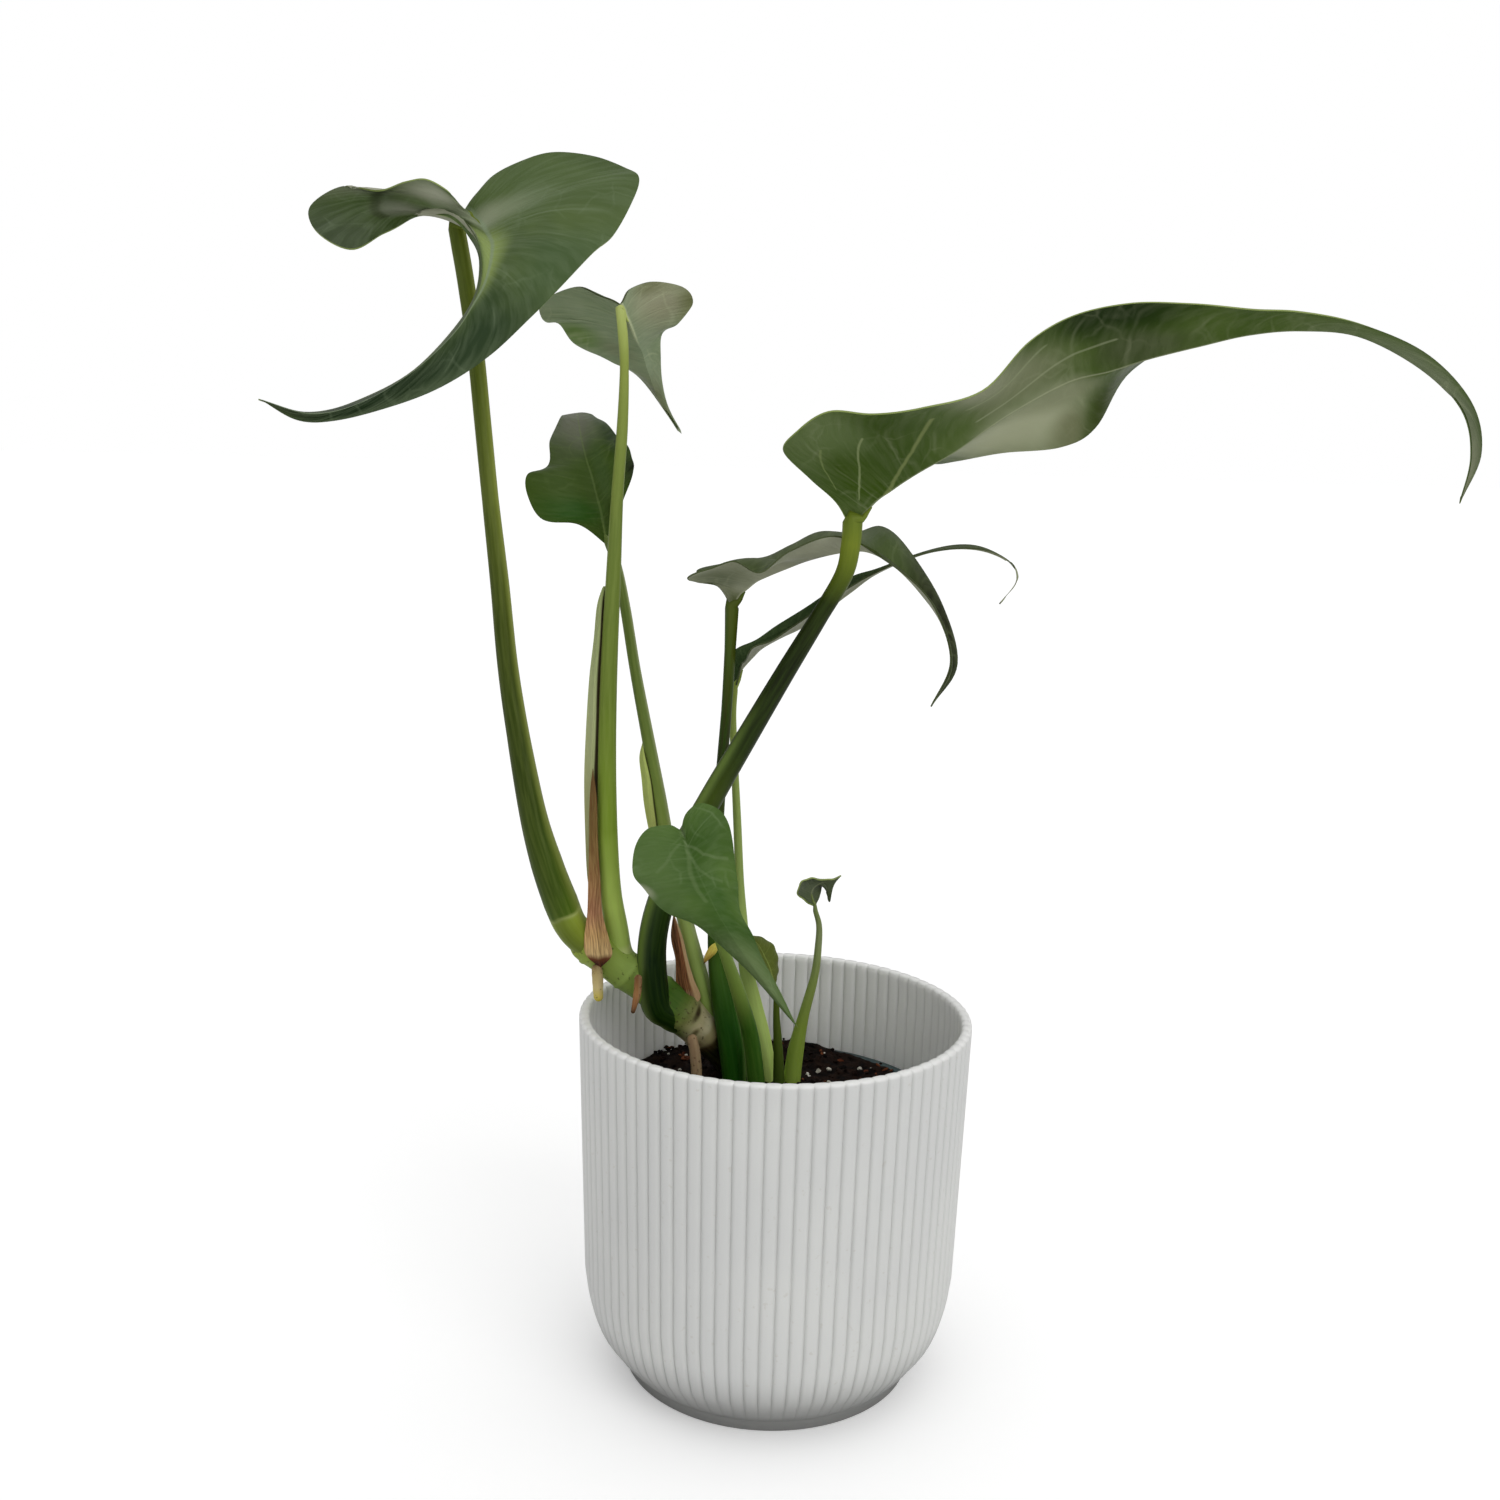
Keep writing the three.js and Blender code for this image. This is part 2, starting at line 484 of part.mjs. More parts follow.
// A thin closed blade: its two faces are the same triangles, half a thickness up and down.
function bladeGeometry(leaf, thickness, columns) {
  const place = bladeSurface(leaf);
  const rows = leaf.rows;
  const width = columns + 1;
  const middle = [place(0, 0)];
  for (let i = 1; i < rows; i++) {
    for (let j = 0; j <= columns; j++) middle.push(place(i / rows, (2 * j) / columns - 1));
  }
  middle.push(place(1, 0));
  const tip = middle.length - 1;
  const at = (i, j) => 1 + (i - 1) * width + j;

  const upper = [];
  for (let j = 0; j < columns; j++) {
    upper.push([0, at(1, j + 1), at(1, j)]);
    for (let i = 1; i < rows - 1; i++) {
      upper.push([at(i, j), at(i, j + 1), at(i + 1, j + 1)]);
      upper.push([at(i, j), at(i + 1, j + 1), at(i + 1, j)]);
    }
    upper.push([at(rows - 1, j), at(rows - 1, j + 1), tip]);
  }

  const normals = middle.map(() => new THREE.Vector3());
  for (const [a, b, c] of upper) {
    const ab = middle[b].clone().sub(middle[a]);
    const ac = middle[c].clone().sub(middle[a]);
    const normal = ab.cross(ac);
    for (const k of [a, b, c]) normals[k].add(normal);
  }
  const face = (side) =>
    middle.map((p, k) => {
      const normal = normals[k].clone().normalize();
      return p.clone().addScaledVector(normal, (side * thickness) / 2).toArray();
    });

  const count = middle.length;
  const triangles = [...upper, ...upper.map(([a, b, c]) => [a + count, c + count, b + count])];
  const rim = (j) => [0, ...Array.from({ length: rows - 1 }, (_, i) => at(i + 1, j)), tip];
  const edge = (line, flip) => {
    for (let k = 0; k < line.length - 1; k++) {
      const [a, b] = flip ? [line[k + 1], line[k]] : [line[k], line[k + 1]];
      triangles.push([a, b, b + count], [a, b + count, a + count]);
    }
  };
  edge(rim(0), false);
  edge(rim(columns), true);
  return meshGeometry([...face(1), ...face(-1)], triangles);
}

// Pots and soil

// A profile of [radius, height, groove depth] turned round the Z axis. Each rib is three columns: the
// bottom of its groove and the two shoulders beside it.
function ribbedLathe(profile) {
  const outline = profile.map(([r, z]) => new THREE.Vector2(r, z));
  const columns = 3 * RIBS;
  const geometry = new THREE.LatheGeometry(outline, columns);
  const place = geometry.attributes.position;
  const pitch = (2 * Math.PI) / RIBS;
  const inPitch = [0, GROOVE_HALF_WIDTH, 1 - GROOVE_HALF_WIDTH];
  for (let i = 0; i <= columns; i++) {
    const column = i % columns;
    const angle = FIRST_GROOVE + (Math.floor(column / 3) + inPitch[column % 3]) * pitch;
    profile.forEach(([r, z, depth], j) => {
      const radius = r + (column % 3 ? 0 : depth);
      place.setXYZ(i * profile.length + j, radius * Math.sin(angle), -radius * Math.cos(angle), z);
    });
  }
  return geometry;
}

function potSolid() {
  const profile = [
    [0, 0, 0],
    [POT_FOOT_RADIUS, 0, 0],
    [POT_FOOT_RADIUS + 1, POT_FOOT_HEIGHT, 0],
    [58.5, 11, -0.5],
    [64.4, 22, -GROOVE_DEPTH],
    [67.2, 37, -GROOVE_DEPTH],
    [POT_RIM_RADIUS, POT_HEIGHT, -GROOVE_DEPTH],
    [POT_RIM_RADIUS - POT_WALL, POT_HEIGHT, INNER_GROOVE_DEPTH],
    [64.9, 60, INNER_GROOVE_DEPTH],
    [61, 24, 0],
    [44, POT_FLOOR, 0],
    [0, POT_FLOOR, 0],
  ];
  return toSolid(ribbedLathe(profile));
}

function turned(profile, segments) {
  const outline = profile.map(([r, z]) => new THREE.Vector2(r, z));
  return new THREE.LatheGeometry(outline, segments).rotateX(Math.PI / 2);
}

const NURSERY_BASE_Z = POT_FLOOR + GAP;

function nurserySolid() {
  const top = NURSERY_FLANGE_Z;
  const profile = [
    [0, NURSERY_BASE_Z],
    [NURSERY_BASE_RADIUS - 4, NURSERY_BASE_Z],
    [NURSERY_BASE_RADIUS, NURSERY_BASE_Z + 3],
    [NURSERY_RADIUS, top - NURSERY_WALL - 1],
    [NURSERY_FLANGE_RADIUS, top - NURSERY_WALL - 1],
    [NURSERY_FLANGE_RADIUS, top],
    [NURSERY_RADIUS - NURSERY_WALL, top],
    [NURSERY_BASE_RADIUS - NURSERY_WALL, NURSERY_BASE_Z + 3],
    [NURSERY_BASE_RADIUS - 5, NURSERY_BASE_Z + NURSERY_WALL],
    [0, NURSERY_BASE_Z + NURSERY_WALL],
  ];
  return toSolid(turned(profile, 48));
}

// The soil fills the nursery pot. At the back and on the left it spills over the flange, up to the
// cover pot's wall. Its top is a low uneven mound.
function soilSolid() {
  const segments = 48;
  const inner = NURSERY_RADIUS - NURSERY_WALL - GAP;
  const base = NURSERY_BASE_RADIUS - NURSERY_WALL - GAP;
  const bottom = NURSERY_BASE_Z + NURSERY_WALL + GAP;
  const over = NURSERY_FLANGE_Z + GAP;
  const spill = (angle) => {
    const toBackLeft = Math.cos(angle - THREE.MathUtils.degToRad(165));
    return THREE.MathUtils.smoothstep(toBackLeft, -0.35, 0.1);
  };
  const lump = (x, y) => SOIL_LUMP * (Math.sin(x / 5.1 + 1) * Math.cos(y / 4.3) + Math.sin((x + y) / 9));
  const positions = [];
  const ring = (radius, height) => {
    for (let k = 0; k < segments; k++) {
      const angle = (k / segments) * 2 * Math.PI;
      const r = radius(angle);
      const [x, y] = [r * Math.cos(angle), r * Math.sin(angle)];
      positions.push([x, y, height(x, y, angle)]);
    }
  };
  const outer = (angle) => THREE.MathUtils.lerp(inner - 1.2, SOIL_SPILL_RADIUS, spill(angle));
  positions.push([0, 0, bottom]);
  ring(() => base - 5, () => bottom);
  ring(() => base, () => bottom + 3);
  ring(() => inner - 0.6, () => NURSERY_FLANGE_Z - 3);
  ring(() => inner - 0.8, () => over);
  ring(outer, (x, y, angle) => over + 0.1 * (1 - spill(angle)));
  ring((angle) => outer(angle) - 1, () => SOIL_EDGE_Z);
  for (const r of [50, 36, 22, 10]) {
    const rise = (SOIL_MIDDLE_Z - SOIL_EDGE_Z) * (1 - r / 60);
    ring(() => r, (x, y) => SOIL_EDGE_Z + rise + lump(x, y));
  }
  positions.push([0, 0, SOIL_MIDDLE_Z]);
  const rings = (positions.length - 2) / segments;
  const last = positions.length - 1;
  const triangles = [];
  for (let k = 0; k < segments; k++) {
    const next = (k + 1) % segments;
    triangles.push([0, 1 + next, 1 + k]);
    for (let i = 0; i < rings - 1; i++) {
      const [a, b] = [1 + i * segments + k, 1 + i * segments + next];
      triangles.push([a, b, b + segments], [a, b + segments, a + segments]);
    }
    const top = 1 + (rings - 1) * segments;
    triangles.push([top + k, top + next, last]);
  }
  return toSolid(meshGeometry(positions, triangles));
}

// Assembly

const plant = new THREE.Group();

function add(name, solid, [colour, roughness]) {
  const material = new THREE.MeshStandardMaterial({ color: colour, roughness, metalness: 0 });
  const mesh = new THREE.Mesh(toGeometry(solid), material);
  mesh.name = name;
  plant.add(mesh);
}

const bladeColumns = (leaf) => (leaf.rows > 20 ? 8 : 6);
const blade = (leaf, extra = 0) =>
  toSolid(bladeGeometry(leaf, BLADE_THICKNESS + extra, bladeColumns(leaf)));
const stalk = (points, extra = 0) => toSolid(stalkGeometry(points, extra));
const loosely = 2 * GAP;

const stemRoom = stalk(STEM, GAP);
add("main_stem", stalk(STEM), STALK_GREEN);

for (const [letter, points] of Object.entries(STALKS)) {
  const bladeRoom = blade(LEAVES[letter], 2 * GAP);
  const finish = DARK_STALKS.includes(letter) ? DARK_STALK_GREEN : STALK_GREEN;
  add("petiole_" + letter, cutClear(stalk(points), [stemRoom, bladeRoom]), finish);
  add("blade_" + letter, blade(LEAVES[letter]), LEAF_GREEN);
}

for (const [name, points] of Object.entries(ROOTS)) {
  add(name, cutClear(stalk(points), [stemRoom]), ROOT_TAN);
}

const rounds = [...Object.values(STALKS), ...Object.values(ROOTS)];
const rooms = [stemRoom, ...rounds.map((points) => stalk(points, GAP))];
for (const [name, scale] of Object.entries(SCALES)) {
  add(name, cutClear(blade(scale), rooms), SCALE_FINISHES[name]);
}

const inSoil = ["d", "f", "g", "h", "i"].map((letter) => STALKS[letter]);
const holes = [STEM, ...inSoil, ROOTS.root_3].map((points) => stalk(points, GAP));
add("soil", cutClear(soilSolid(), holes), SOIL);
add("nursery_pot", nurserySolid(), BLACK_PLASTIC);
add("cover_pot", potSolid(), CERAMIC);

export default plant;
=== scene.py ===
# %% [markdown]
# # A young climbing aroid in a ribbed cover pot
#
# The plant has nine entire, heart-shaped leaves with very long drip tips. They stand on stalks that rise from
# a thick creeping stem and from the soil of a nursery pot, hidden in an off-white pot with 84 flutes.
# Lengths in the tables are millimetres, as on a drawing. Blender's own unit is the metre, so every table is
# multiplied by MM when it becomes a mesh. The viewer of the photograph stands on the -Y side.

import math
import random

import bpy
import numpy as np
from mathutils import Euler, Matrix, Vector, noise


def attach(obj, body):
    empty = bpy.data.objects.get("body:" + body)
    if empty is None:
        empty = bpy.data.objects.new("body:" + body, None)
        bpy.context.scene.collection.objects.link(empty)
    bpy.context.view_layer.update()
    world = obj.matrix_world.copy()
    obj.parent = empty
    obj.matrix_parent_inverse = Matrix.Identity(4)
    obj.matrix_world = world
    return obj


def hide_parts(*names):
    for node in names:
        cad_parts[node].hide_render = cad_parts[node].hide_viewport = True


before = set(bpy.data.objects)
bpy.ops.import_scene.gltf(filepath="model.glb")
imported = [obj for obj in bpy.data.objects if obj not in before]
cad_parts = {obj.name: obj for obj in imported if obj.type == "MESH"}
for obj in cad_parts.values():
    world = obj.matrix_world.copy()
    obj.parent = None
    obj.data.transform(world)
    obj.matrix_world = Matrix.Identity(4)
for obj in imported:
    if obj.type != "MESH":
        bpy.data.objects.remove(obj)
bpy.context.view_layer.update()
MM = 0.001
print("nodes in the frame:", len(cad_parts))

# %% [markdown]
# ## Camera
#
# The photograph was taken from a little above the pot's rim, about 56 cm in front of its middle. Height, tilt
# and focal length come from the ellipses of the rim and the foot and from the spacing of the flutes, so the
# pot in the render covers the pot in the photograph, and the leaves follow.

# %% Camera
bpy.ops.object.camera_add(location=(0, -0.5557, 0.3292))
camera = bpy.context.object
camera.name = "camera"
camera.rotation_euler = [math.radians(angle) for angle in (79.56, -1.456, 1.458)]
camera.data.sensor_width = 36
camera.data.lens = 39.01
camera.data.clip_start = 0.01
bpy.context.scene.camera = camera
print("camera", tuple(camera.location), "lens", camera.data.lens, "mm")

# %% [markdown]
# ## Floor and light
#
# A plain product photograph: everything round the plant is white, and the light is soft. Waxy leaves look
# dark where they mirror the room in front of them and pale where they mirror the ceiling. So the light comes
# from a wide dome overhead, a soft key lamp at the right of the viewer and a weak fill lamp at the left, and
# the room itself is dim. All lamps are suns, which light the floor evenly. The floor and the room look white
# to the camera alone, so they don't wash out the undersides of the leaves.

# %% Floor and light
FLOOR_SEEN = 0.88
FLOOR_GLOW = 0.26
FLOOR_BOUNCE = 0.8
ROOM_LIGHT = 0.28
WHITE = (1, 1, 1, 1)
PLANT_MIDDLE = Vector((0, 0, 0.2))


def for_camera(socket, seen, elsewhere):
    """Gives a socket one value for the camera's own view and another for every other ray."""
    tree = socket.id_data
    eye = tree.nodes.new("ShaderNodeLightPath")
    choice = tree.nodes.new("ShaderNodeMapRange")
    choice.inputs["To Min"].default_value = elsewhere
    choice.inputs["To Max"].default_value = seen
    tree.links.new(eye.outputs["Is Camera Ray"], choice.inputs["Value"])
    tree.links.new(choice.outputs["Result"], socket)


def soft_sun(name, place, spread, power):
    """A sun that shines from a place towards the plant. spread is its apparent size in degrees."""
    bpy.ops.object.light_add(type="SUN", location=place)
    sun = bpy.context.object
    sun.name = name
    sun.data.energy = power
    sun.data.angle = math.radians(spread)
    sun.rotation_euler = (PLANT_MIDDLE - sun.location).to_track_quat("-Z", "Y").to_euler()


world = bpy.data.worlds.new("white_room")
bpy.context.scene.world = world
world.use_nodes = True
sky = world.node_tree.nodes["Background"].inputs
sky["Color"].default_value = WHITE
for_camera(sky["Strength"], 1.0, ROOM_LIGHT)

bpy.ops.mesh.primitive_circle_add(vertices=96, radius=30, fill_type="NGON", location=(0, 0, 0))
floor = bpy.context.object
floor.name = "floor"
floor_paint = bpy.data.materials.new("floor_paint")
floor_paint.use_nodes = True
paint = floor_paint.node_tree.nodes["Principled BSDF"].inputs
for_camera(paint["Base Color"], FLOOR_SEEN, FLOOR_BOUNCE)
for_camera(paint["Emission Strength"], FLOOR_GLOW, 0.0)
paint["Emission Color"].default_value = WHITE
paint["Roughness"].default_value = 0.9
paint["Specular IOR Level"].default_value = 0.1
floor.data.materials.append(floor_paint)
soft_sun("dome", (0.1, 0.15, 1.5), spread=110, power=1.6)
soft_sun("key", (0.62, -0.85, 0.75), spread=45, power=0.75)
soft_sun("fill", (-0.55, -1.0, 0.3), spread=60, power=0.35)
bpy.context.scene.view_settings.view_transform = "Standard"

# %% [markdown]
# ## Points that the leaves follow
#
# A leaf is drawn as a sail maker would draw it, with three curves from the top of its stalk to its tip: the
# left margin, the midrib and the right margin. The margins run out round the basal lobes first. middle_right
# bends the right half of leaf A between midrib and margin, because its lobe is folded over.
# A stalk is a curve with its radius at each point, from its foot to its top. The tables are written as text,
# with a comma between two points, so that the numbers stand close together.
# Each point was picked on the photograph, and its depth was judged. A helper program outside this script
# then worked out its millimetres from the camera above and printed them. Some were nudged since.

# %% Tables as text
def table(text):
    """Rows of numbers. A comma ends a row. A word that starts with # is a colour and stays a word."""
    rows = [row.split() for row in text.split(",")]
    return [[word if word[0] == "#" else float(word) for word in row] for row in rows if row]


def rails(start, end, **sides):
    """The curves of a blade, which all begin at the top of its stalk and end at its tip."""
    return {side: table(f"{start}, {places}, {end}") for side, places in sides.items()}


# %% Curves of the leaves
LEAVES = {
    "a": rails(
        "-111 5 405.5", "-164 -50 341",
        left="""-107 4 410.5, -101.5 4 416.5, -92.5 5 421, -81.5 7 424.5, -68 8 424, -57.5 7 420,
        -53 4 416, -55 -2 407.5, -60 -8 397, -66 -13 390.5, -75 -18 380, -84.5 -24 369, -96.5 -30 356.5,
        -111 -37 346, -127 -42 339, -141.5 -46 335, -153 -48 335""",
        mid="""-109.5 4 404.5, -108.5 3 404, -107.5 2 402.5, -106 1 401.5, -105 0 400.5, -103.5 -2 399,
        -102.5 -4 397.5, -101 -6 395.5, -99.5 -9 393, -99 -12 390, -99 -16 385.5, -100 -21 379,
        -102.5 -26 372.5, -107.5 -32 363, -118.5 -39 351, -133.5 -44 341, -148 -48 337""",
        middle_right="""-112.5 1 407, -114.5 -1 408, -118.5 1 408.5, -122.5 4 409, -129 8 409,
        -134 10 408, -133.5 11 406, -129.5 10 405, -123.5 8 404, -116 3 403.5, -109 -3 400.5,
        -103.5 -10 392, -102.5 -14 381.5, -107.5 -20 368, -120 -29 352, -136.5 -37 341.5, -150.5 -45 337.5""",
        right="""-115 -3 410, -121.5 -6 413, -129 -3 412, -140 8 411, -154.5 16 413.5, -165.6 14 406.5,
        -159.5 2 397, -146 -6 390.5, -137 3 397.5, -126.5 8 403.5, -116 2 402.5, -108 -4 396, -105 -4 387,
        -108 -8 372, -122.5 -18 352.5, -140 -30 341.5, -152.5 -42 337.5""",
    ),
    "b": rails(
        "-58.5 0 376", "-39.5 30 334.5",
        left="""-66 6 379.5, -75.5 12 382, -87 17 377.5, -87 18 372, -81.5 18 370.5, -76 19 364,
        -66.3 19 359.5, -54.6 22.5 354.3""",
        mid="""-57.5 1 374.5, -56.5 2 372, -55.5 3 370, -54.5 5 367.5, -53.5 8 364.5, -52 12 361,
        -50.5 16 355.5, -46.5 24 345""",
        right="""-55.5 6 381.5, -48.5 12 384.5, -38.5 16 383, -35.5 18 378, -40.5 18 372, -46 18 367.5,
        -46.5 20 359, -45 26 346""",
    ),
    "c": rails(
        "-63.8 15 295.5", "-79 58 331.5",
        left="""-73 10.5 302.3, -85 7 304, -90.5 8 312, -91 11 319, -84.5 16 323, -85 23 331,
        -83 32 338.5, -81.5 42 339.5, -81.5 51 337""",
        mid="""-65 15 302, -66 15 307, -67.5 16 312, -69.5 18 318.5, -72 21 325, -74.5 26 332.5,
        -76.5 33 339, -78 42 341, -79.5 52 338.5""",
        right="""-61 16 303.5, -57.5 17 313, -55 18 322, -56 21 326, -58.5 25 330.5, -63.5 30 334.5,
        -69 37 339, -73.5 45 340.5, -77 53 337.5""",
    ),
    "d": rails(
        "-32.5 -36 206", "7.5 -42 141.5",
        left="""-31.5 -35 211.5, -26 -35 215, -19.5 -36 212.5, -15.5 -37 203, -14 -39 190.5, -12 -41 180,
        -7.5 -42 171, -1 -43 158.5""",
        mid="""-31.5 -38 204.5, -30.5 -40 202.5, -29 -42 199.5, -27 -44 195, -23.5 -46 188.5,
        -19.5 -47 181, -14 -47 172.5, -6.5 -46 161.5""",
        right="""-37 -36 207.5, -43.5 -37 206.5, -48 -38 199.5, -48 -39 192, -44.5 -40 186.5, -36 -41 179,
        -24 -42 173.5, -10.5 -43 161.5""",
    ),
    "e": rails(
        "20.8 -8.3 302.5", "209.5 -35 318.5",
        left="""22 1 313.5, 20 14 323.5, 21.5 26 330.5, 29.5 32 334, 40 31 331.5, 49 25 327,
        57.5 17 327.5, 72.5 9 331, 90.5 3 333.5, 101 0 340, 110 -5 357.5, 127 -12 369.5, 143 -22 373,
        156 -32 373, 174 -35 370.5, 194 -36 361.5, 208.5 -36 348, 213.5 -36 333.5""",
        mid="""23.8 -8 308.5, 27 -8 312.5, 29.5 -8.5 315, 33 -9 317.5, 37 -10 320.5, 43 -11 324.5,
        53.5 -13 331, 69.5 -16 343, 87.5 -20 353.5, 100 -24 357, 111.5 -28 361, 126 -32 365,
        140 -35 368.5, 155 -37 370, 173 -38 368.5, 193 -38 359, 206.5 -37 347, 211 -36 333""",
        right="""15.4 -10.5 312.5, 6.2 -17.5 320.5, -3 -27 329.5, 1.5 -36 336, 11 -41 341.5,
        24.5 -40 341.5, 41 -36 344.5, 60 -30 350, 73.5 -30 365, 86.5 -32 373.5, 102.5 -36 377,
        120 -40 376.5, 137.5 -42 375.5, 153 -41 375.5, 172.5 -39 372, 194 -38 363.5, 209.4 -37 349.5,
        214.4 -36 334""",
    ),
    "f": rails(
        "-19.2 10.8 274.5", "50 -8 245",
        left="""-24.5 14 284.5, -32.5 20 286.5, -27.5 25 288.5, -19.5 29 290.5, -8.5 31 291.5, 0 32 296.5,
        10 30 301, 22 26 301.5, 32 19 304.5, 41.5 12 296.5, 53 4 280, 58.5 -3 259.5""",
        mid="""-16.5 8 280, -14 8 282.5, -11 8 285, -7 8 287, -1.5 7 289.5, 7 6 293, 18 4 296, 27 2 296.5,
        36 0 292, 45 -2 283.5, 53 -4 272.5, 56.5 -6 258.5""",
        right="""-24 2 283, -30.5 -3 284.5, -34 -8 286.5, -27 -12 290, -18.5 -15 293.5, -9.5 -17 289.5,
        -0.5 -13 297, 13.5 -6 301.5, 26 -2 298, 39 -5 290, 50 -8 278, 56 -8 261""",
    ),
    "g": rails(
        "-18.2 20 244", "73.5 12 279",
        left="""-20.5 27 251.5, -20.5 34 255, -16.5 38 258.5, -10 40 261.5, -3.5 40 266, 6 37 273.5,
        20.5 31 284, 31 26 289, 49 21 296.5, 65 18 298.5, 76.5 15 294, 79.5 14 287""",
        mid="""-16.5 20 251, -15 20 253.5, -12 20 257, -8.5 20 260.5, -2 19 264.5, 7 18 269.5,
        21 18 280.5, 32 20 288.5, 49.5 19 296, 65 17 297.5, 76.5 15 293.5, 79.5 14 286.5""",
        right="""-16 15 254, -14.5 9 257, -13 3 260.5, -10 1 263.5, -4 0 266.5, 5.5 1 272.5, 20 8 283.5,
        30.5 14 288.5, 48.5 17 296, 64.5 16 298, 76.5 15 293.5, 79.5 14 286.5""",
    ),
    "h": rails(
        "-0.5 4 140", "-11 14 156",
        left="-3.5 0 143.5, -7.5 0 148.5, -10 4 153, -10.5 9 155.5",
        mid="-1.5 4 143.5, -2.5 5 146.5, -4.5 7 150, -7 10 153.5",
        right="0.5 8 143, 0.5 11 147, -1 13 152, -5.5 14 155",
    ),
    "i": rails(
        "13 18 166", "22.5 23 177",
        left="14.5 22 167.5, 15 25 169.5, 16 27 172, 18 27 171, 19 26 166, 20 24 173",
        mid="12 18 168, 11.5 18 170.5, 12 19 172.5, 13.5 20 174, 16 21 175, 19 22 175.5",
        right="9.5 14 169, 6.5 12 172.5, 7.5 12 176.5, 10.5 14 178, 14.5 17 177, 19 21 176",
    ),
}
print("leaves:", len(LEAVES))

# %% Curves of the scales, the stem, the stalks and the roots
SCALES = {
    "sheath_b": rails(
        "-63.5 3 282", "-66 0 170",
        left="""-65.5 3 275, -66.5 3 263.5, -68 3 249.5, -69 3 231.5, -69.5 3 214, -69 3 195.5,
        -68 2 179.5""",
        mid="""-64.5 1 275.5, -65 0 263.5, -66 0 250, -66.5 0 232, -67 0 214.5, -67.5 0 196.5,
        -67 -1 180.5""",
        right="-64 3 275, -64.5 2 263.5, -65 2 249.5, -65 2 232, -65.5 2 214, -66 1 196.5, -65.5 0 180",
    ),
    "sheath_c": rails(
        "-50.5 18 225", "-44.5 17 182",
        left="-51.5 18 219.5, -50.5 17 211.5, -49.5 17 202.5, -47.5 17 192.5",
        mid="-50 16 220, -48.5 15 212, -47.5 15 203, -45.5 15 193",
        right="-49 16 220, -47 16 212, -45.5 16 202.5, -44.5 16 192.5",
    ),
    "cataphyll_1": rails(
        "-66 -2 219", "-62.5 -4 147.5",
        left="-67 -2 207.5, -67 -2 193.5, -67.2 -3 179, -67.3 -4 167.5, -68.3 -4 158, -67.6 -4 152",
        mid="-65.5 -3 208, -65.5 -3 193.5, -64.5 -4 179.5, -64.5 -5 168, -63.5 -6 159, -63 -5.5 152.5",
        right="-64.5 -2.5 208, -64 -2.5 193.5, -63 -3 179.5, -62.2 -3 167.5, -59.8 -3 158, -58.6 -3 152",
    ),
    "cataphyll_2": rails(
        "-38 13 163.5", "-31 11 128.8",
        left="-38.8 13 154.5, -36.9 12 146, -36.6 11 138.5, -36 11 130.5",
        mid="-36.7 12 154.5, -34.9 11 146, -33.6 10 138.5, -32 10 131.5",
        right="-34.6 13 154.5, -32.6 13 146, -30.2 13 138.5, -27.6 12.5 132",
    ),
    "bract": rails(
        "-26.5 11 145.5", "-20.5 7 155.5",
        left="-26 9 149, -24 8 153",
        mid="-25 8 149, -23 7 152.2",
        right="-24 9 148.5, -21.8 7 151.4",
    ),
}
STEM = table(
    """-72.5 2 159 6.4, -65.5 4 152.5 7, -57.5 6 146 7, -49 8 139 6.9, -41 10 132 7.3, -32 13 123.5 7.7,
    -23.5 20 114 7.4, -15.5 27 102.5 6.8, -10.5 30 88.5 6.5"""
)
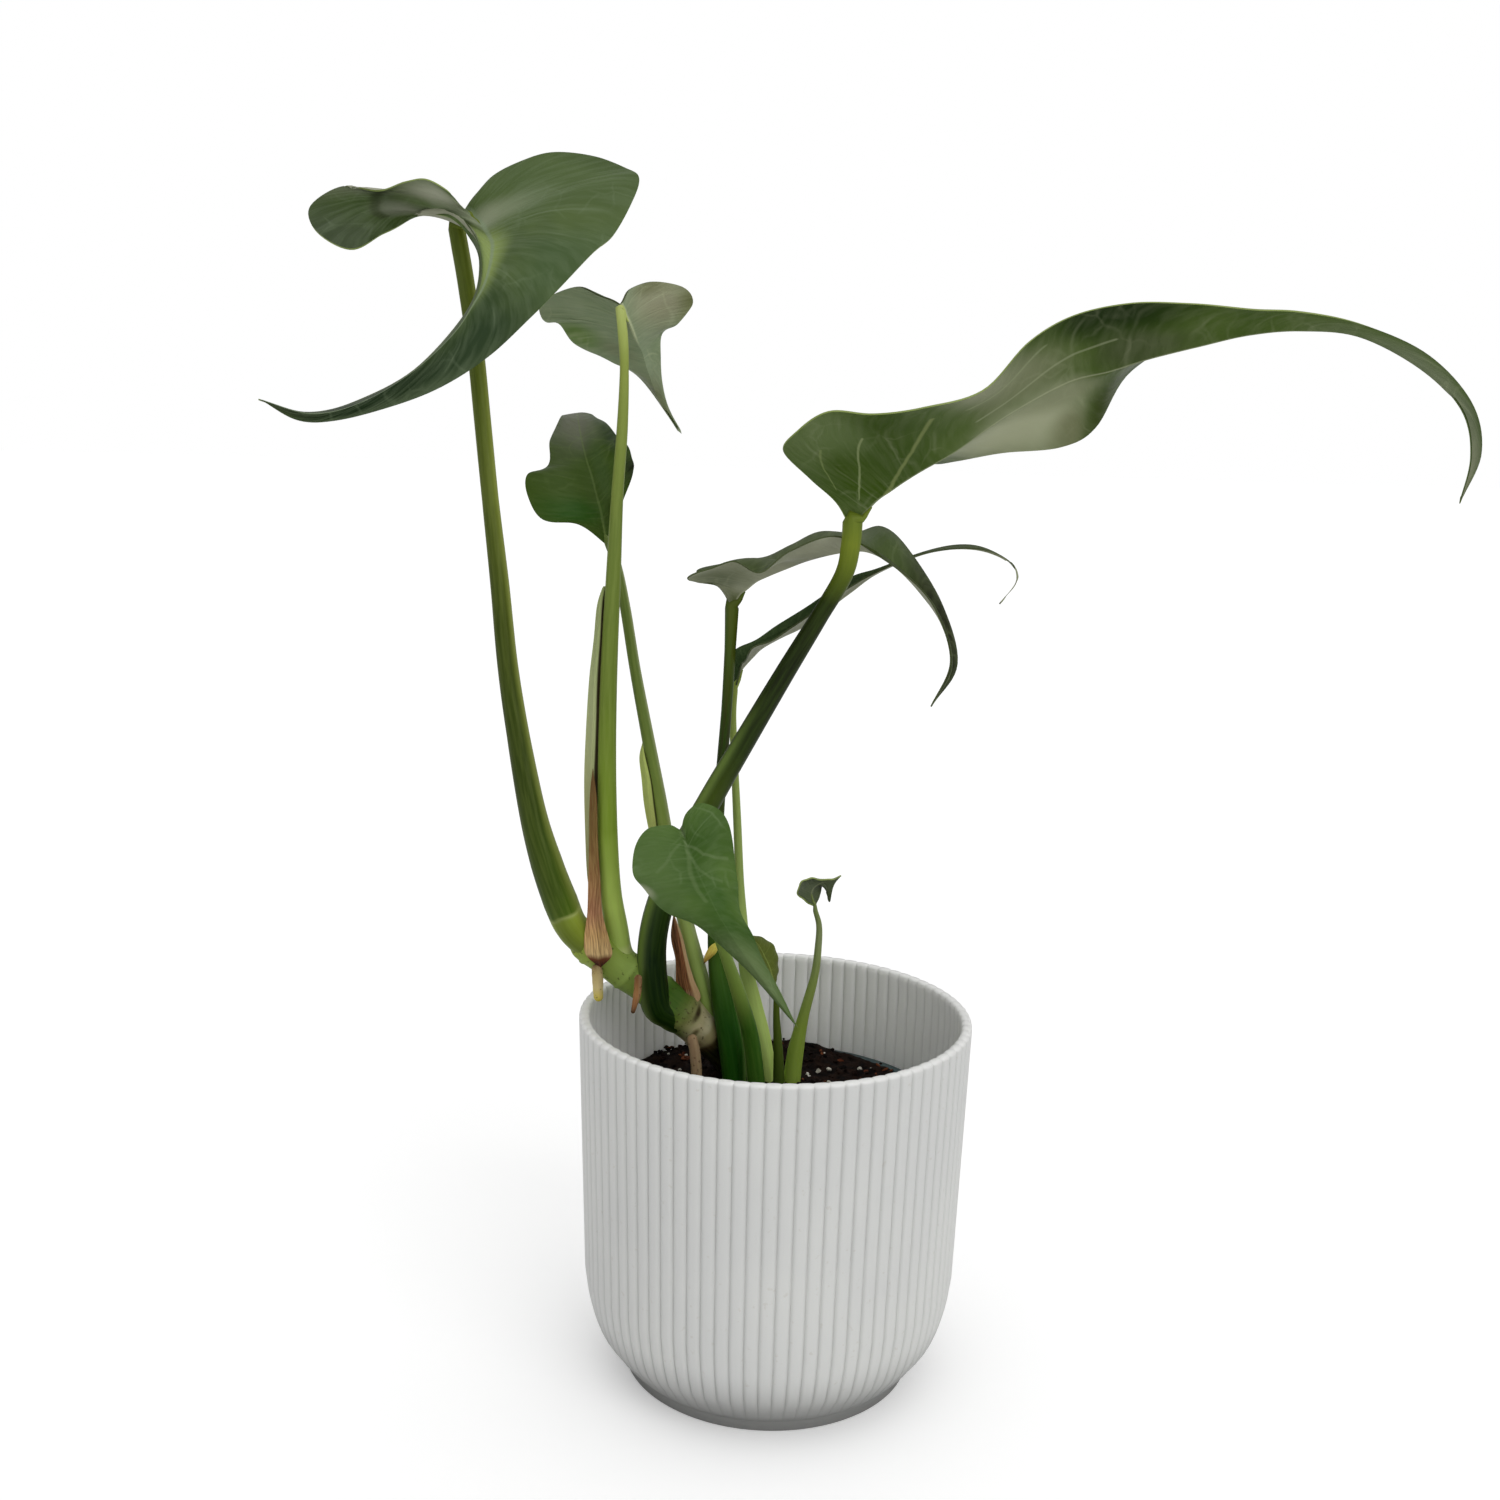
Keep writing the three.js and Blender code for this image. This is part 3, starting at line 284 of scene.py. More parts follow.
STALKS = {
    "a": """-73.5 1 161 5.9, -77.5 0 170.5 6.2, -82.5 0 184.5 5.7, -87.5 1 202 4.8, -93 3 229.5 4,
    -97 5 254 3.6, -100 7 281.5 3.3, -103.5 9 310 2.9, -106.5 11 337 2.9, -109 12 360.5 2.9,
    -112 12 382 2.9, -113.5 9 394 2.9, -114.5 8 400.5 2.8""",
    "b": """-56 6 149 4.5, -58 5 160.5 4.1, -60 3 174 3.9, -61 2 192.5 3.6, -61.5 2 214 3.3,
    -61.5 2 235.5 3.1, -61 2 260 2.9, -60 2 284.5 2.6, -59 2 311.5 2.1, -57.5 2 335 1.9, -57 2 354.5 1.5,
    -57.5 1 366 1.7, -58.5 0 374.5 1.5""",
    "c": """-26 16 132 2.9, -29.5 17 144 2.9, -33 18 155.5 2.9, -37 18 170.5 2.9, -41 18 187.5 2.8,
    -44.5 18 206 2.6, -48.5 18 226 2.3, -53.5 18 251 2, -57 17 272 1.9, -60 16 287.5 1.6, -63 15 296 1.6""",
    "d": """-5 3 88 3.3, -6 2 101 3.3, -8.5 0 121 3.1, -12.5 -6 138 2.7, -17 -12 153.5 2.1,
    -22.5 -19 170.5 1.7, -27.5 -25 184.5 1.3, -31 -30 196 1.2, -32.5 -33 203 1.2""",
    "e": """-43.5 6 132.5 5.8, -45 4 152 5.2, -42 2 170 5, -34 -1 190.5 4.6, -24 -3 211 4.2,
    -12.5 -5 232.5 3.8, 0 -7 255.5 3.4, 11 -8 275 3, 18.5 -9 289 3.1, 20.5 -8.9 299 3.3,
    20.9 -8.4 307.5 3.4""",
    "f": """-13 10 88 4.1, -14 10 97 4.1, -15.7 11 114.5 5, -18.9 12 130 4.5, -22 13 146 3.1,
    -23 13 165 2.5, -23 14 187 2.2, -22 14 213 2, -20.5 13 238.5 1.9, -19.7 12 260 2, -19.3 9.8 277 2.5""",
    "g": """-0.5 18 88 3, -1 18 94.5 3, -4.5 18 114 3.3, -8.5 18 129.5 3.1, -11.5 18 143 2.6,
    -13 19 158 2, -14.5 20 174.5 1.6, -16 21 197 1.5, -17.5 21 219 1.3, -18.5 21 235.5 1.3,
    -18.2 20 246 1.4""",
    "h": "2 8 90 2.2, 2 8 99 2.2, 1.5 7 113 1.8, 0.5 6 126.5 1.3, 0 4 138.5 0.9",
    "i": """6.5 18 88 3.4, 6.5 18 95 3.4, 8 18 111 3, 10.5 18 124.5 2, 14 18 140 1.5, 15 18 151.5 1.3,
    15 18 159 1.1, 13.5 18 164.5 0.9""",
}
ROOTS = {
    "root_1": "-64 -3 148.5 1.8, -63.5 -4 143 2, -63 -4 135 1.6",
    "root_2": "-49 -3 145 1.4, -49.5 -3 137.5 1.4, -51 -3 130.5 0.7",
    "root_3": "-30 2 121.5 1.8, -28.5 1 114 2, -27.5 1 100.5 2, -27 1 90 1.8",
}
print("stalks:", len(STALKS), "points of the stem:", len(STEM))

# %% [markdown]
# ## From points to meshes
#
# Each organic piece starts as a flat grid. The grid's columns run across the leaf or round the stalk, and its
# rows run along it, so every vertex knows its place on the piece, and the grid's own UV map becomes the map
# that veins and streaks follow. A second map, "reach", holds the same places in centimetres, for widths that
# don't stretch with the leaf.

# %% Smooth curves
def through(points, t):
    """Places at t, from 0 to 1, on a smooth curve through given points."""
    p = np.asarray(points, float)
    spans = len(p) - 1
    t = np.clip(np.asarray(t, float) * spans, 0, spans)
    i = np.minimum(t.astype(int), spans - 1)
    f = (t - i)[..., None]
    p = np.vstack([2 * p[0] - p[1], p, 2 * p[-1] - p[-2]])
    a, b, c, d = p[i], p[i + 1], p[i + 2], p[i + 3]
    return b + f * (c - a) / 2 + f**2 * (2 * a - 5 * b + 4 * c - d) / 2 + f**3 * (3 * b - a - 3 * c + d) / 2


def tube_through(rows, steps):
    """Shares of the way, places and radii of a tube, with this many steps from point to point."""
    points = np.array(rows, float)
    spans = len(points) - 1
    t = np.linspace(0, 1, steps * spans + 1)
    return t, through(points[:, :3], t), np.interp(t, np.linspace(0, 1, spans + 1), points[:, 3])


def unit(vectors):
    """Vectors of length 1. A zero vector stays zero."""
    length = np.linalg.norm(vectors, axis=-1, keepdims=True)
    return vectors / np.maximum(length, 1e-9)


# %% A grid bent to its places
def choose(piece):
    """Makes a piece the only selected and the active one, as the operators want it."""
    bpy.ops.object.select_all(action="DESELECT")
    piece.select_set(True)
    bpy.context.view_layer.objects.active = piece


def grid_piece(name, places, along=None):
    """A grid whose vertex in row i and column j goes to places[i, j], in millimetres."""
    rows, columns = places.shape[0] - 1, places.shape[1] - 1
    bpy.ops.mesh.primitive_grid_add(x_subdivisions=columns, y_subdivisions=rows, size=2)
    piece = bpy.context.object
    piece.name = name
    piece.data.name = name
    mesh = piece.data
    flat = np.empty(len(mesh.vertices) * 3)
    mesh.vertices.foreach_get("co", flat)
    flat = flat.reshape(-1, 3)
    j = np.rint((flat[:, 0] + 1) / 2 * columns).astype(int)
    i = np.rint((flat[:, 1] + 1) / 2 * rows).astype(int)
    mesh.vertices.foreach_set("co", (places[i, j] * MM).ravel())

    across = np.zeros((rows + 1, columns + 1))
    across[:, 1:] = np.cumsum(np.linalg.norm(np.diff(places, axis=1), axis=2), axis=1)
    across -= across[:, [columns // 2]]
    length = np.zeros(rows + 1)
    length[1:] = np.cumsum(np.linalg.norm(np.diff(places[:, columns // 2], axis=0), axis=1))
    corners = np.empty(len(mesh.loops), int)
    mesh.loops.foreach_get("vertex_index", corners)
    reach = mesh.uv_layers.new(name="reach")
    reach.data.foreach_set("uv", np.column_stack([across[i, j], length[i]])[corners].ravel() / 10)
    if along is not None:
        uv = np.column_stack([j / columns, np.asarray(along)[i]])[corners]
        mesh.uv_layers["UVMap"].data.foreach_set("uv", uv.ravel())
    mesh.update()
    choose(piece)
    bpy.ops.object.mode_set(mode="EDIT")
    bpy.ops.mesh.select_all(action="SELECT")
    bpy.ops.mesh.remove_doubles(threshold=1e-6)
    bpy.ops.object.mode_set(mode="OBJECT")
    return piece


# %% Thickness, smoothness and the hand-over
def thicken(piece, thickness, offset, **finishes):
    """Gives a sheet its thickness in millimetres. offset is -1 for downwards and 0 for both ways."""
    choose(piece)
    modifier = piece.modifiers.new("solidify", "SOLIDIFY")
    modifier.thickness = thickness * MM
    modifier.offset = offset
    for key, value in finishes.items():
        setattr(modifier, key, value)
    bpy.ops.object.modifier_apply(modifier=modifier.name)


def smooth(piece, angle=50):
    choose(piece)
    bpy.ops.object.shade_smooth_by_angle(angle=math.radians(angle))


def hand_over(piece, slot, *nodes):
    """The piece belongs to the part's one body and stands for these nodes."""
    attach(piece, "root")
    if nodes:
        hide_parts(*nodes)
    print(piece.name, len(piece.data.polygons), "faces")


# %% [markdown]
# ## Shader groups
#
# Several finishes share the same figures, so each figure is a node group that puts out masks: the veins of a
# leaf, a soft patch, a single line, and the long streaks of a stalk or a dry bract. The colours are mixed in
# each material. Every helper finds the node tree from a socket it is given.

# %% Node helpers
def rgb(text):
    """A colour for a shader, from #rrggbb, which says how it looks on a screen."""
    parts = [int(text[k : k + 2], 16) / 255 for k in (1, 3, 5)]
    return (*[p / 12.92 if p <= 0.04045 else ((p + 0.055) / 1.055) ** 2.4 for p in parts], 1)


def feed(socket, value):
    """Links a socket to another one, or sets it to a number, a vector or a colour word."""
    if isinstance(value, bpy.types.NodeSocket):
        socket.id_data.links.new(value, socket)
    else:
        socket.default_value = rgb(value) if isinstance(value, str) else value


def add_node(near, kind, **values):
    """A new node in the tree of the socket or node near. A value goes to a property or else to an input."""
    made = near.id_data.nodes.new(kind)
    for key, value in values.items():
        if hasattr(made, key):
            setattr(made, key, value)
        else:
            feed(made.inputs[key], value)
    return made


def worked_out(kind, operation, values):
    """The outputs of a Math or Vector Math node that is fed with these sockets or numbers."""
    made = add_node(next(v for v in values if isinstance(v, bpy.types.NodeSocket)), kind, operation=operation)
    for socket, value in zip(made.inputs, values):
        feed(socket, value)
    return made.outputs


def maths(operation, *values):
    return worked_out("ShaderNodeMath", operation, values)[0]


def times(first, second):
    return maths("MULTIPLY", first, second)


def arrows(operation, *values):
    """Vector maths. A distance or a dot product comes out as a number."""
    number = operation in ("DOT_PRODUCT", "DISTANCE")
    return worked_out("ShaderNodeVectorMath", operation, values)["Value" if number else "Vector"]


def split(vector):
    """The X, Y and Z of a vector."""
    return add_node(vector, "ShaderNodeSeparateXYZ", Vector=vector).outputs


def cloudy(vector, scale, detail=2.0, output=0):
    """A noise. Its output 0 is a number about 0.5, and its output 1 is a colour."""
    return add_node(vector, "ShaderNodeTexNoise", Vector=vector, Scale=scale, Detail=detail).outputs[output]


def ramp_to(value, low, high, out_low=0.0, out_high=1.0):
    """A smooth step of a value between low and high."""
    made = add_node(value, "ShaderNodeMapRange", interpolation_type="SMOOTHSTEP", Value=value)
    for key, number in (("From Min", low), ("From Max", high), ("To Min", out_low), ("To Max", out_high)):
        feed(made.inputs[key], number)
    return made.outputs[0]


def over(factor, first, second):
    """The second colour laid over the first, by a factor from 0 to 1."""
    made = add_node(factor, "ShaderNodeMix", data_type="RGBA", Factor=factor, A=first, B=second)
    return made.outputs["Result"]


def new_group(name, vectors, numbers, outputs):
    """A node group with sockets of these names, what it is given and where its results go."""
    group = bpy.data.node_groups.new(name, "ShaderNodeTree")
    for words, way, kind in (
        (vectors, "INPUT", "Vector"), (numbers, "INPUT", "Float"), (outputs, "OUTPUT", "Float")
    ):
        for word in words.split():
            group.interface.new_socket(word, in_out=way, socket_type="NodeSocket" + kind)
    return group, group.nodes.new("NodeGroupInput").outputs, group.nodes.new("NodeGroupOutput").inputs


# %% Leaf veins
VEIN_SWEEP = 0.055
VEIN_WANDER = 0.035
VEIN_WIDTH = 0.07
STRANDS_PER_VEIN = 5.0
RIB_AT_TIP = 0.25

veins, given, result = new_group(
    "leaf_veins", "Place Reach Solid", "Count Rib", "Midrib Laterals Fine Net Cloud"
)
place = split(given["Place"])
across = maths("MULTIPLY_ADD", place["X"], 2.0, -1.0)
side = maths("ABSOLUTE", across)
forward = maths("MULTIPLY_ADD", maths("POWER", side, 1.6), -VEIN_SWEEP, place["Y"])
forward = maths("MULTIPLY_ADD", cloudy(given["Solid"], 45.0), VEIN_WANDER, forward)
patchy = cloudy(given["Solid"], 75.0, 1.0)

phase = maths("FRACT", times(forward, given["Count"]))
apart = maths("ABSOLUTE", maths("SUBTRACT", phase, 0.5))
laterals = times(ramp_to(apart, 0.0, VEIN_WIDTH, 1.0, 0.0), ramp_to(patchy, 0.4, 0.62))
laterals = times(laterals, ramp_to(side, 0.7, 1.0, 1.0, 0.0))
feed(result["Laterals"], laterals)

row = times(forward, times(given["Count"], STRANDS_PER_VEIN))
strand = add_node(veins, "ShaderNodeCombineXYZ", X=times(across, 2.5), Y=row).outputs[0]
feed(result["Fine"], ramp_to(cloudy(strand, 1.0), 0.35, 0.68))

width = times(given["Rib"], ramp_to(place["Y"], 0.0, 1.0, 1.0, RIB_AT_TIP))
near = maths("DIVIDE", maths("ABSOLUTE", split(given["Reach"])["X"]), width)
feed(result["Midrib"], ramp_to(near, 0.25, 1.0, 1.0, 0.0))

bend = cloudy(given["Solid"], 90.0, output=1)
moved = arrows("MULTIPLY_ADD", bend, (0.009, 0.009, 0.009), given["Solid"])
cells = add_node(veins, "ShaderNodeTexVoronoi", feature="DISTANCE_TO_EDGE", Vector=moved, Scale=85.0)
threads = ramp_to(cells.outputs[0], 0.0, 0.06, 1.0, 0.0)
feed(result["Net"], times(threads, ramp_to(patchy, 0.45, 0.65)))
feed(result["Cloud"], ramp_to(cloudy(given["Solid"], 30.0, 3.0), 0.35, 0.65))

# %% Soft patch
patch, given, result = new_group("soft_patch", "Place Solid", "Across Along Width Length", "Mask")
place = split(given["Place"])
off_x = maths("DIVIDE", maths("SUBTRACT", place["X"], given["Across"]), given["Width"])
off_y = maths("DIVIDE", maths("SUBTRACT", place["Y"], given["Along"]), given["Length"])
apart = maths("SQRT", maths("MULTIPLY_ADD", off_x, off_x, times(off_y, off_y)))
frayed = maths("MULTIPLY_ADD", cloudy(given["Solid"], 60.0), 0.5, apart)
feed(result["Mask"], ramp_to(frayed, 0.4, 1.35, 1.0, 0.0))

# %% Line mark
line, given, result = new_group("line_mark", "Place Start End Stretch", "Width", "Mask")


def stretched(end):
    return arrows("MULTIPLY", arrows("SUBTRACT", end, given["Start"]), given["Stretch"])


whole, offset = stretched(given["End"]), stretched(given["Place"])
share = maths("DIVIDE", arrows("DOT_PRODUCT", offset, whole), arrows("DOT_PRODUCT", whole, whole))
share = add_node(line, "ShaderNodeClamp", Value=share).outputs[0]
apart = arrows("DISTANCE", offset, arrows("MULTIPLY", whole, share))
feed(result["Mask"], ramp_to(maths("DIVIDE", apart, given["Width"]), 0.2, 1.0, 1.0, 0.0))

# %% Streaks
streaks, given, result = new_group("streaks", "Reach Solid", "Fineness", "Streak Speck Cloud")
long_way = arrows("MULTIPLY", given["Reach"], (1.0, 0.06, 1.0))
for mask, where, scale, detail, low, high in (
    ("Streak", long_way, given["Fineness"], 3.0, 0.32, 0.68),
    ("Speck", given["Solid"], 700.0, 1.0, 0.62, 0.72),
    ("Cloud", given["Solid"], 70.0, 2.0, 0.3, 0.7),
):
    feed(result[mask], ramp_to(cloudy(where, scale, detail), low, high))


# %% A new finish
def new_finish(name, roughness, **sockets):
    """A material, its Principled shader and the socket with Object coordinates."""
    material = bpy.data.materials.new(name)
    material.use_nodes = True
    shader = material.node_tree.nodes["Principled BSDF"]
    shader.inputs["Roughness"].default_value = roughness
    for key, value in sockets.items():
        shader.inputs[key.replace("_", " ")].default_value = value
    return material, shader, add_node(shader, "ShaderNodeTexCoord").outputs["Object"]


def use_group(group, **values):
    """A placed node group. The first of its values has to be a socket."""
    first, *_ = values.values()
    return add_node(first, "ShaderNodeGroup", node_tree=group, **values).outputs


def uv(shader, name):
    return add_node(shader, "ShaderNodeUVMap", uv_map=name).outputs[0]


def patched(colour, place, solid, patches):
    """Lays soft patches over a colour. A row is place across, place along, width, length, tone, strength."""
    for across, along, width, length, tone, strength in table(patches):
        spot = dict(Across=across, Along=along, Width=width, Length=length)
        mask = use_group(patch, Place=place, Solid=solid, **spot)["Mask"]
        colour = over(times(mask, strength), colour, tone)
    return colour


def coloured_along(value, stops):
    """A colour ramp, from rows of position and colour."""
    ramp = add_node(value, "ShaderNodeValToRGB", Fac=value)
    elements = ramp.color_ramp.elements
    stops = table(stops)
    while len(elements) < len(stops):
        elements.new(0.5)
    for element, (position, colour) in zip(elements, stops):
        element.position = position
        element.color = rgb(colour)
    return ramp.outputs[0]


def painted(shader, colour, height, strength, depth):
    """Ends a finish: its colour, and a relief of this depth in metres as a Bump node."""
    feed(shader.inputs["Base Color"], colour)
    bump = add_node(shader, "ShaderNodeBump", Height=height, Strength=strength, Distance=depth)
    feed(shader.inputs["Normal"], bump.outputs[0])


# %% [markdown]
# ## Leaf finishes
#
# The upper side is a deep green with a slight gloss. Its midrib is a pale band, the side veins are faint pale
# lines that bend forward, and fine strands run between them. The underside is greyer and softer. The very
# edge of the blade is a thin line, light on most leaves. A leaf isn't one green: some zones are its own tone,
# and many are painted light, a pale painted sheen where it faces the light overhead and a dark painted shade
# where it turns away from it, as towards the drip tip. Each zone is a soft patch at a place across and along
# the leaf, from 0 to 1, with its own width, length, colour and strength. Many of the colours, on the stalks
# too, start from a helper's measurement at one place of the photograph, with the scene's light taken out of
# it.

# %% Leaf finishes
LEAF_ROUGHNESS = 0.42
LINE_STRETCH = (0.4, 1, 0)
RIB_FADE = 0.15


def leaf_finish(name, tones, patches="", veined=(0.25, 0.12, 0.15), lines=(), ribbed=(0.8, 1.2), gloss=0.12):
    """One side of a leaf: two greens in clouds, zones of other greens, and pale veins over them.

    tones are the two greens, the colour of the veins, the number of side veins and the midrib's half width in
    centimetres. veined is how much the side veins, the fine strands and the net show. Each of the lines is a
    thin line, mostly a single vein, though the dark one on leaf A is a painted shadow along its fold and one
    on the underside of E a painted highlight along a crease. A line is width, colour and strength, then the
    points it runs through. ribbed is how much the midrib shows and how far up the leaf."""
    material, shader, solid = new_finish(name, LEAF_ROUGHNESS, Specular_IOR_Level=gloss)
    deep, light, pale, count, rib = table(tones)[0]
    place = uv(shader, "UVMap")
    figure = use_group(veins, Place=place, Reach=uv(shader, "reach"), Solid=solid, Count=count, Rib=rib)
    colour = patched(over(figure["Cloud"], deep, light), place, solid, patches)
    for key, share in zip(("Laterals", "Fine", "Net"), veined):
        colour = over(times(figure[key], share), colour, pale)
    strength, until = ribbed
    strength = ramp_to(split(place)["Y"], until - RIB_FADE, until, strength, 0.0)
    colour = over(times(figure["Midrib"], strength), colour, pale)
    for text in lines:
        (width, tone, strength), *spots = table(text)
        mask = 0.0
        for start, end in zip(spots, spots[1:]):
            ends = dict(Start=(*start, 0), End=(*end, 0), Stretch=LINE_STRETCH)
            mask = maths("MAXIMUM", use_group(line, Place=place, Width=width, **ends)["Mask"], mask)
        colour = over(times(mask, strength), colour, tone)
    relief = maths("MULTIPLY_ADD", figure["Laterals"], -0.5, figure["Fine"])
    painted(shader, colour, relief, strength=0.25, depth=0.0004)
    return material


# %% Upper sides
# Many zones below are painted light. Painted sheen: A's lobe #54663a, A's #8c9478 near its stalk, A's lower
# edge #546246 and C's #6a6c5c at its top. Painted shade: A's dark zones towards its tip, #1e3414, #122608 and
# #101804, and C's near-black #061000, a painted shadow of stalk B across it.
UPPER = {
    "a": dict(
        tones="#3c4e28 #546636 #7e8e6e 15 0.22", veined=(0.2, 0.14, 0.13),
        patches="""0.1 0.3 0.4 0.3 #54663a 0.8, 0 0.31 0.12 0.1 #3c4e24 0.7,
        0.35 0.31 0.16 0.1 #707e5e 0.55, 0.5 0.26 0.2 0.16 #8c9478 0.85, 0.52 0.56 0.11 0.22 #8a9c56 0.9,
        0.8 0.17 0.3 0.14 #acaf98 1, 0.99 0.42 0.26 0.2 #223402 0.9, 0.74 0.41 0.12 0.13 #8c907c 0.9,
        0.98 0.27 0.16 0.06 #646656 0.6, 0.1 0.58 0.3 0.12 #425834 0.7, 0.16 0.75 0.5 0.14 #1e3414 0.95,
        0.3 0.88 0.7 0.14 #122608 1, 0 0.84 0.16 0.16 #546246 0.6, 1 0.86 0.2 0.1 #6c723e 0.7,
        0.5 0.98 0.8 0.08 #101804 0.9""",
        lines=(
            # A painted shadow: a dark line along the fold, where the arched half of A lies over its lobe.
            "0.01 #2c3616 0.6, 0.97 0.215, 0.86 0.28, 0.815 0.34, 0.84 0.43",
        ),
    ),
    "b": dict(tones="#425828 #526834 #829660 13 0.16"),
    "c": dict(
        tones="#2c4408 #3a5014 #687a46 9 0.08", veined=(0.2, 0.1, 0.2), ribbed=(0.4, 1.2),
        patches="""0.4 0.68 0.6 0.2 #6a6c5c 0.9, 0.15 0.5 0.3 0.14 #4c5838 0.6,
        0.95 0.55 0.25 0.2 #1a2e06 0.85, 1 0.33 0.22 0.12 #061000 0.95, 0.62 0.4 0.14 0.26 #42582e 0.6,
        0.28 0.2 0.34 0.13 #204c04 0.8, 0.7 0.16 0.2 0.12 #263a06 0.7""",
    ),
    "d": dict(
        tones="#345218 #547032 #7a9064 9 0.08", veined=(0.2, 0.1, 0.28), ribbed=(0.1, 1.2),
        patches="""0.85 0.42 0.35 0.32 #58723c 0.85, 0.4 0.6 0.3 0.16 #325416 0.7,
        0.45 0.9 0.7 0.16 #687a4e 0.85, 0.5 0.06 0.24 0.12 #809268 0.7, 1 0.56 0.1 0.05 #969e7e 0.9""",
        lines=(
            "0.011 #7c9062 0.25, 0.52 0.2, 0.525 0.367, 0.556 0.47, 0.562 0.55, 0.544 0.605",
            "0.009 #809268 0.25, 0.54 0.2, 0.444 0.32, 0.381 0.4, 0.263 0.453, 0.112 0.482",
            "0.009 #7a8e62 0.2, 0.53 0.3, 0.475 0.458, 0.394 0.51, 0.25 0.542",
            "0.009 #7a8e62 0.22, 0.58 0.25, 0.656 0.333, 0.713 0.4, 0.8 0.45",
        ),
    ),
    "e": dict(tones="#344a1a #445a24 #788c54 15 0.18"),
    "f": dict(
        tones="#324012 #445224 #788458 12 0.1", gloss=0.08,
        patches="""0.25 0.68 0.5 0.12 #5e7042 0.85, 0.5 0.84 0.7 0.14 #242612 0.9,
        0.5 0.97 0.7 0.2 #1e2210 0.9""",
    ),
    "g": dict(
        tones="#304224 #405232 #6e7c58 12 0.1", veined=(0.2, 0.1, 0.1), ribbed=(0.5, 1.2), gloss=0.0,
        patches="0.5 0.88 0.8 0.34 #747a66 0.9",
    ),
    "h": dict(tones="#4c5816 #5c6626 #78863e 7 0.08"),
    "i": dict(tones="#3e4c32 #4c583e #768058 7 0.08"),
}

# %% Undersides
# Painted reflection: on E's underside the pale grey zones #acb190 and #8c9174 stand for its sheen.
UNDER = {
    "a": dict(tones="#8a8e76 #9a9c86 #a4aa8e 13 0.2"),
    "b": dict(
        tones="#80906e #929e7e #bac29a 9 0.14", ribbed=(0.85, 0.62),
        patches="""0.8 0.35 0.35 0.3 #8e8c70 0.85, 0.95 0.22 0.2 0.12 #747450 0.8,
        1 0.43 0.14 0.16 #626636 0.85, 0.08 0.62 0.2 0.12 #5c7a30 0.85, 0.3 0.7 0.2 0.1 #788060 0.7,
        0.5 0.89 0.6 0.12 #606644 0.85""",
    ),
    "c": dict(tones="#5c6c42 #6c7a52 #929c74 9 0.1"),
    "d": dict(tones="#5c6c42 #6c7a52 #929c74 9 0.1"),
    "e": dict(
        tones="#3a5016 #4c6028 #b0b692 15 0.07", veined=(0.12, 0.06, 0.08), ribbed=(0.45, 0.8), gloss=0.08,
        patches="""0.92 0.22 0.28 0.12 #627444 0.9, 0.6 0.17 0.24 0.09 #385006 0.9,
        0.85 0.32 0.2 0.06 #344a0a 0.7, 0.75 0.45 0.3 0.07 #7c8262 0.85, 1 0.42 0.28 0.05 #8c9174 0.95,
        0.95 0.56 0.34 0.1 #182c02 1, 0.6 0.57 0.2 0.08 #465030 0.8, 0.22 0.43 0.42 0.1 #acb190 1,
        0.4 0.47 0.16 0.06 #888e6c 0.8, 0.1 0.485 0.2 0.03 #727652 0.75, 0.12 0.535 0.34 0.045 #324200 1,
        0.5 0 0.6 0.06 #6c7c28 0.9, 0.55 0.9 0.6 0.2 #6c745c 0.8, 0.5 1 0.7 0.1 #82866c 0.9""",
        lines=(
            """0.0032 #a0ac7a 0.5, 0.6 0.1, 0.6 0.15, 0.625 0.18, 0.66 0.205, 0.7 0.225, 0.735 0.242,
            0.77 0.262""",
            "0.0035 #96a468 0.35, 0.8 0.1, 0.786 0.135, 0.8 0.16, 0.84 0.19",
            # A painted highlight: this pale line follows a crease across E's underside.
            """0.0045 #8c965e 0.55, 0.5 0.18, 0.513 0.223, 0.54 0.265, 0.575 0.296, 0.62 0.32, 0.68 0.338,
            0.75 0.353, 0.83 0.366""",
            "0.005 #a0a884 0.4, 0.62 0.4, 0.66 0.45, 0.7 0.5, 0.71 0.55",
            "0.005 #96a07a 0.4, 0.8 0.4, 0.83 0.44, 0.88 0.48",
        ),
    ),
    "f": dict(
        tones="#94987e #acae96 #b4b89c 12 0.1",
        patches="0.5 0 0.6 0.15 #545e2e 0.95, 0.75 0.2 0.3 0.12 #70785c 0.8",
    ),
    "g": dict(tones="#6c7252 #808466 #969c7c 12 0.1"),
    "h": dict(tones="#5c6832 #68743e #88925c 7 0.08"),
    "i": dict(tones="#485438 #566044 #7c825e 7 0.08"),
}


# %% Margins
def margin_finish(name, first, second):
    """The thin edge of a blade."""
    material, shader, solid = new_finish(name, 0.5, Specular_IOR_Level=0.2)
    feed(shader.inputs["Base Color"], over(cloudy(solid, 80.0), first, second))
    return material


bright_margin = margin_finish("bright_margin", "#6e8238", "#9caa68")
dark_margin = margin_finish("dark_margin", "#343e1e", "#58623e")
LEAF_SIDES = {
    letter: (
        leaf_finish(f"leaf_{letter}_upper", **UPPER[letter]),
        leaf_finish(f"leaf_{letter}_under", **{"gloss": 0.2, **UNDER[letter]}),
        dark_margin if letter in "bcfg" else bright_margin,
    )
    for letter in UPPER
}
print("leaf finishes:", 2 * len(LEAF_SIDES) + 2)

# %% [markdown]
# ## Leaf blades
#
# The three curves carry the blade. Between midrib and margin each half is arched a little, and its margin has
# a slight ripple. A grid bent this way gives the upper side, and Solidify adds the underside and the thin
# edge with finishes of their own.

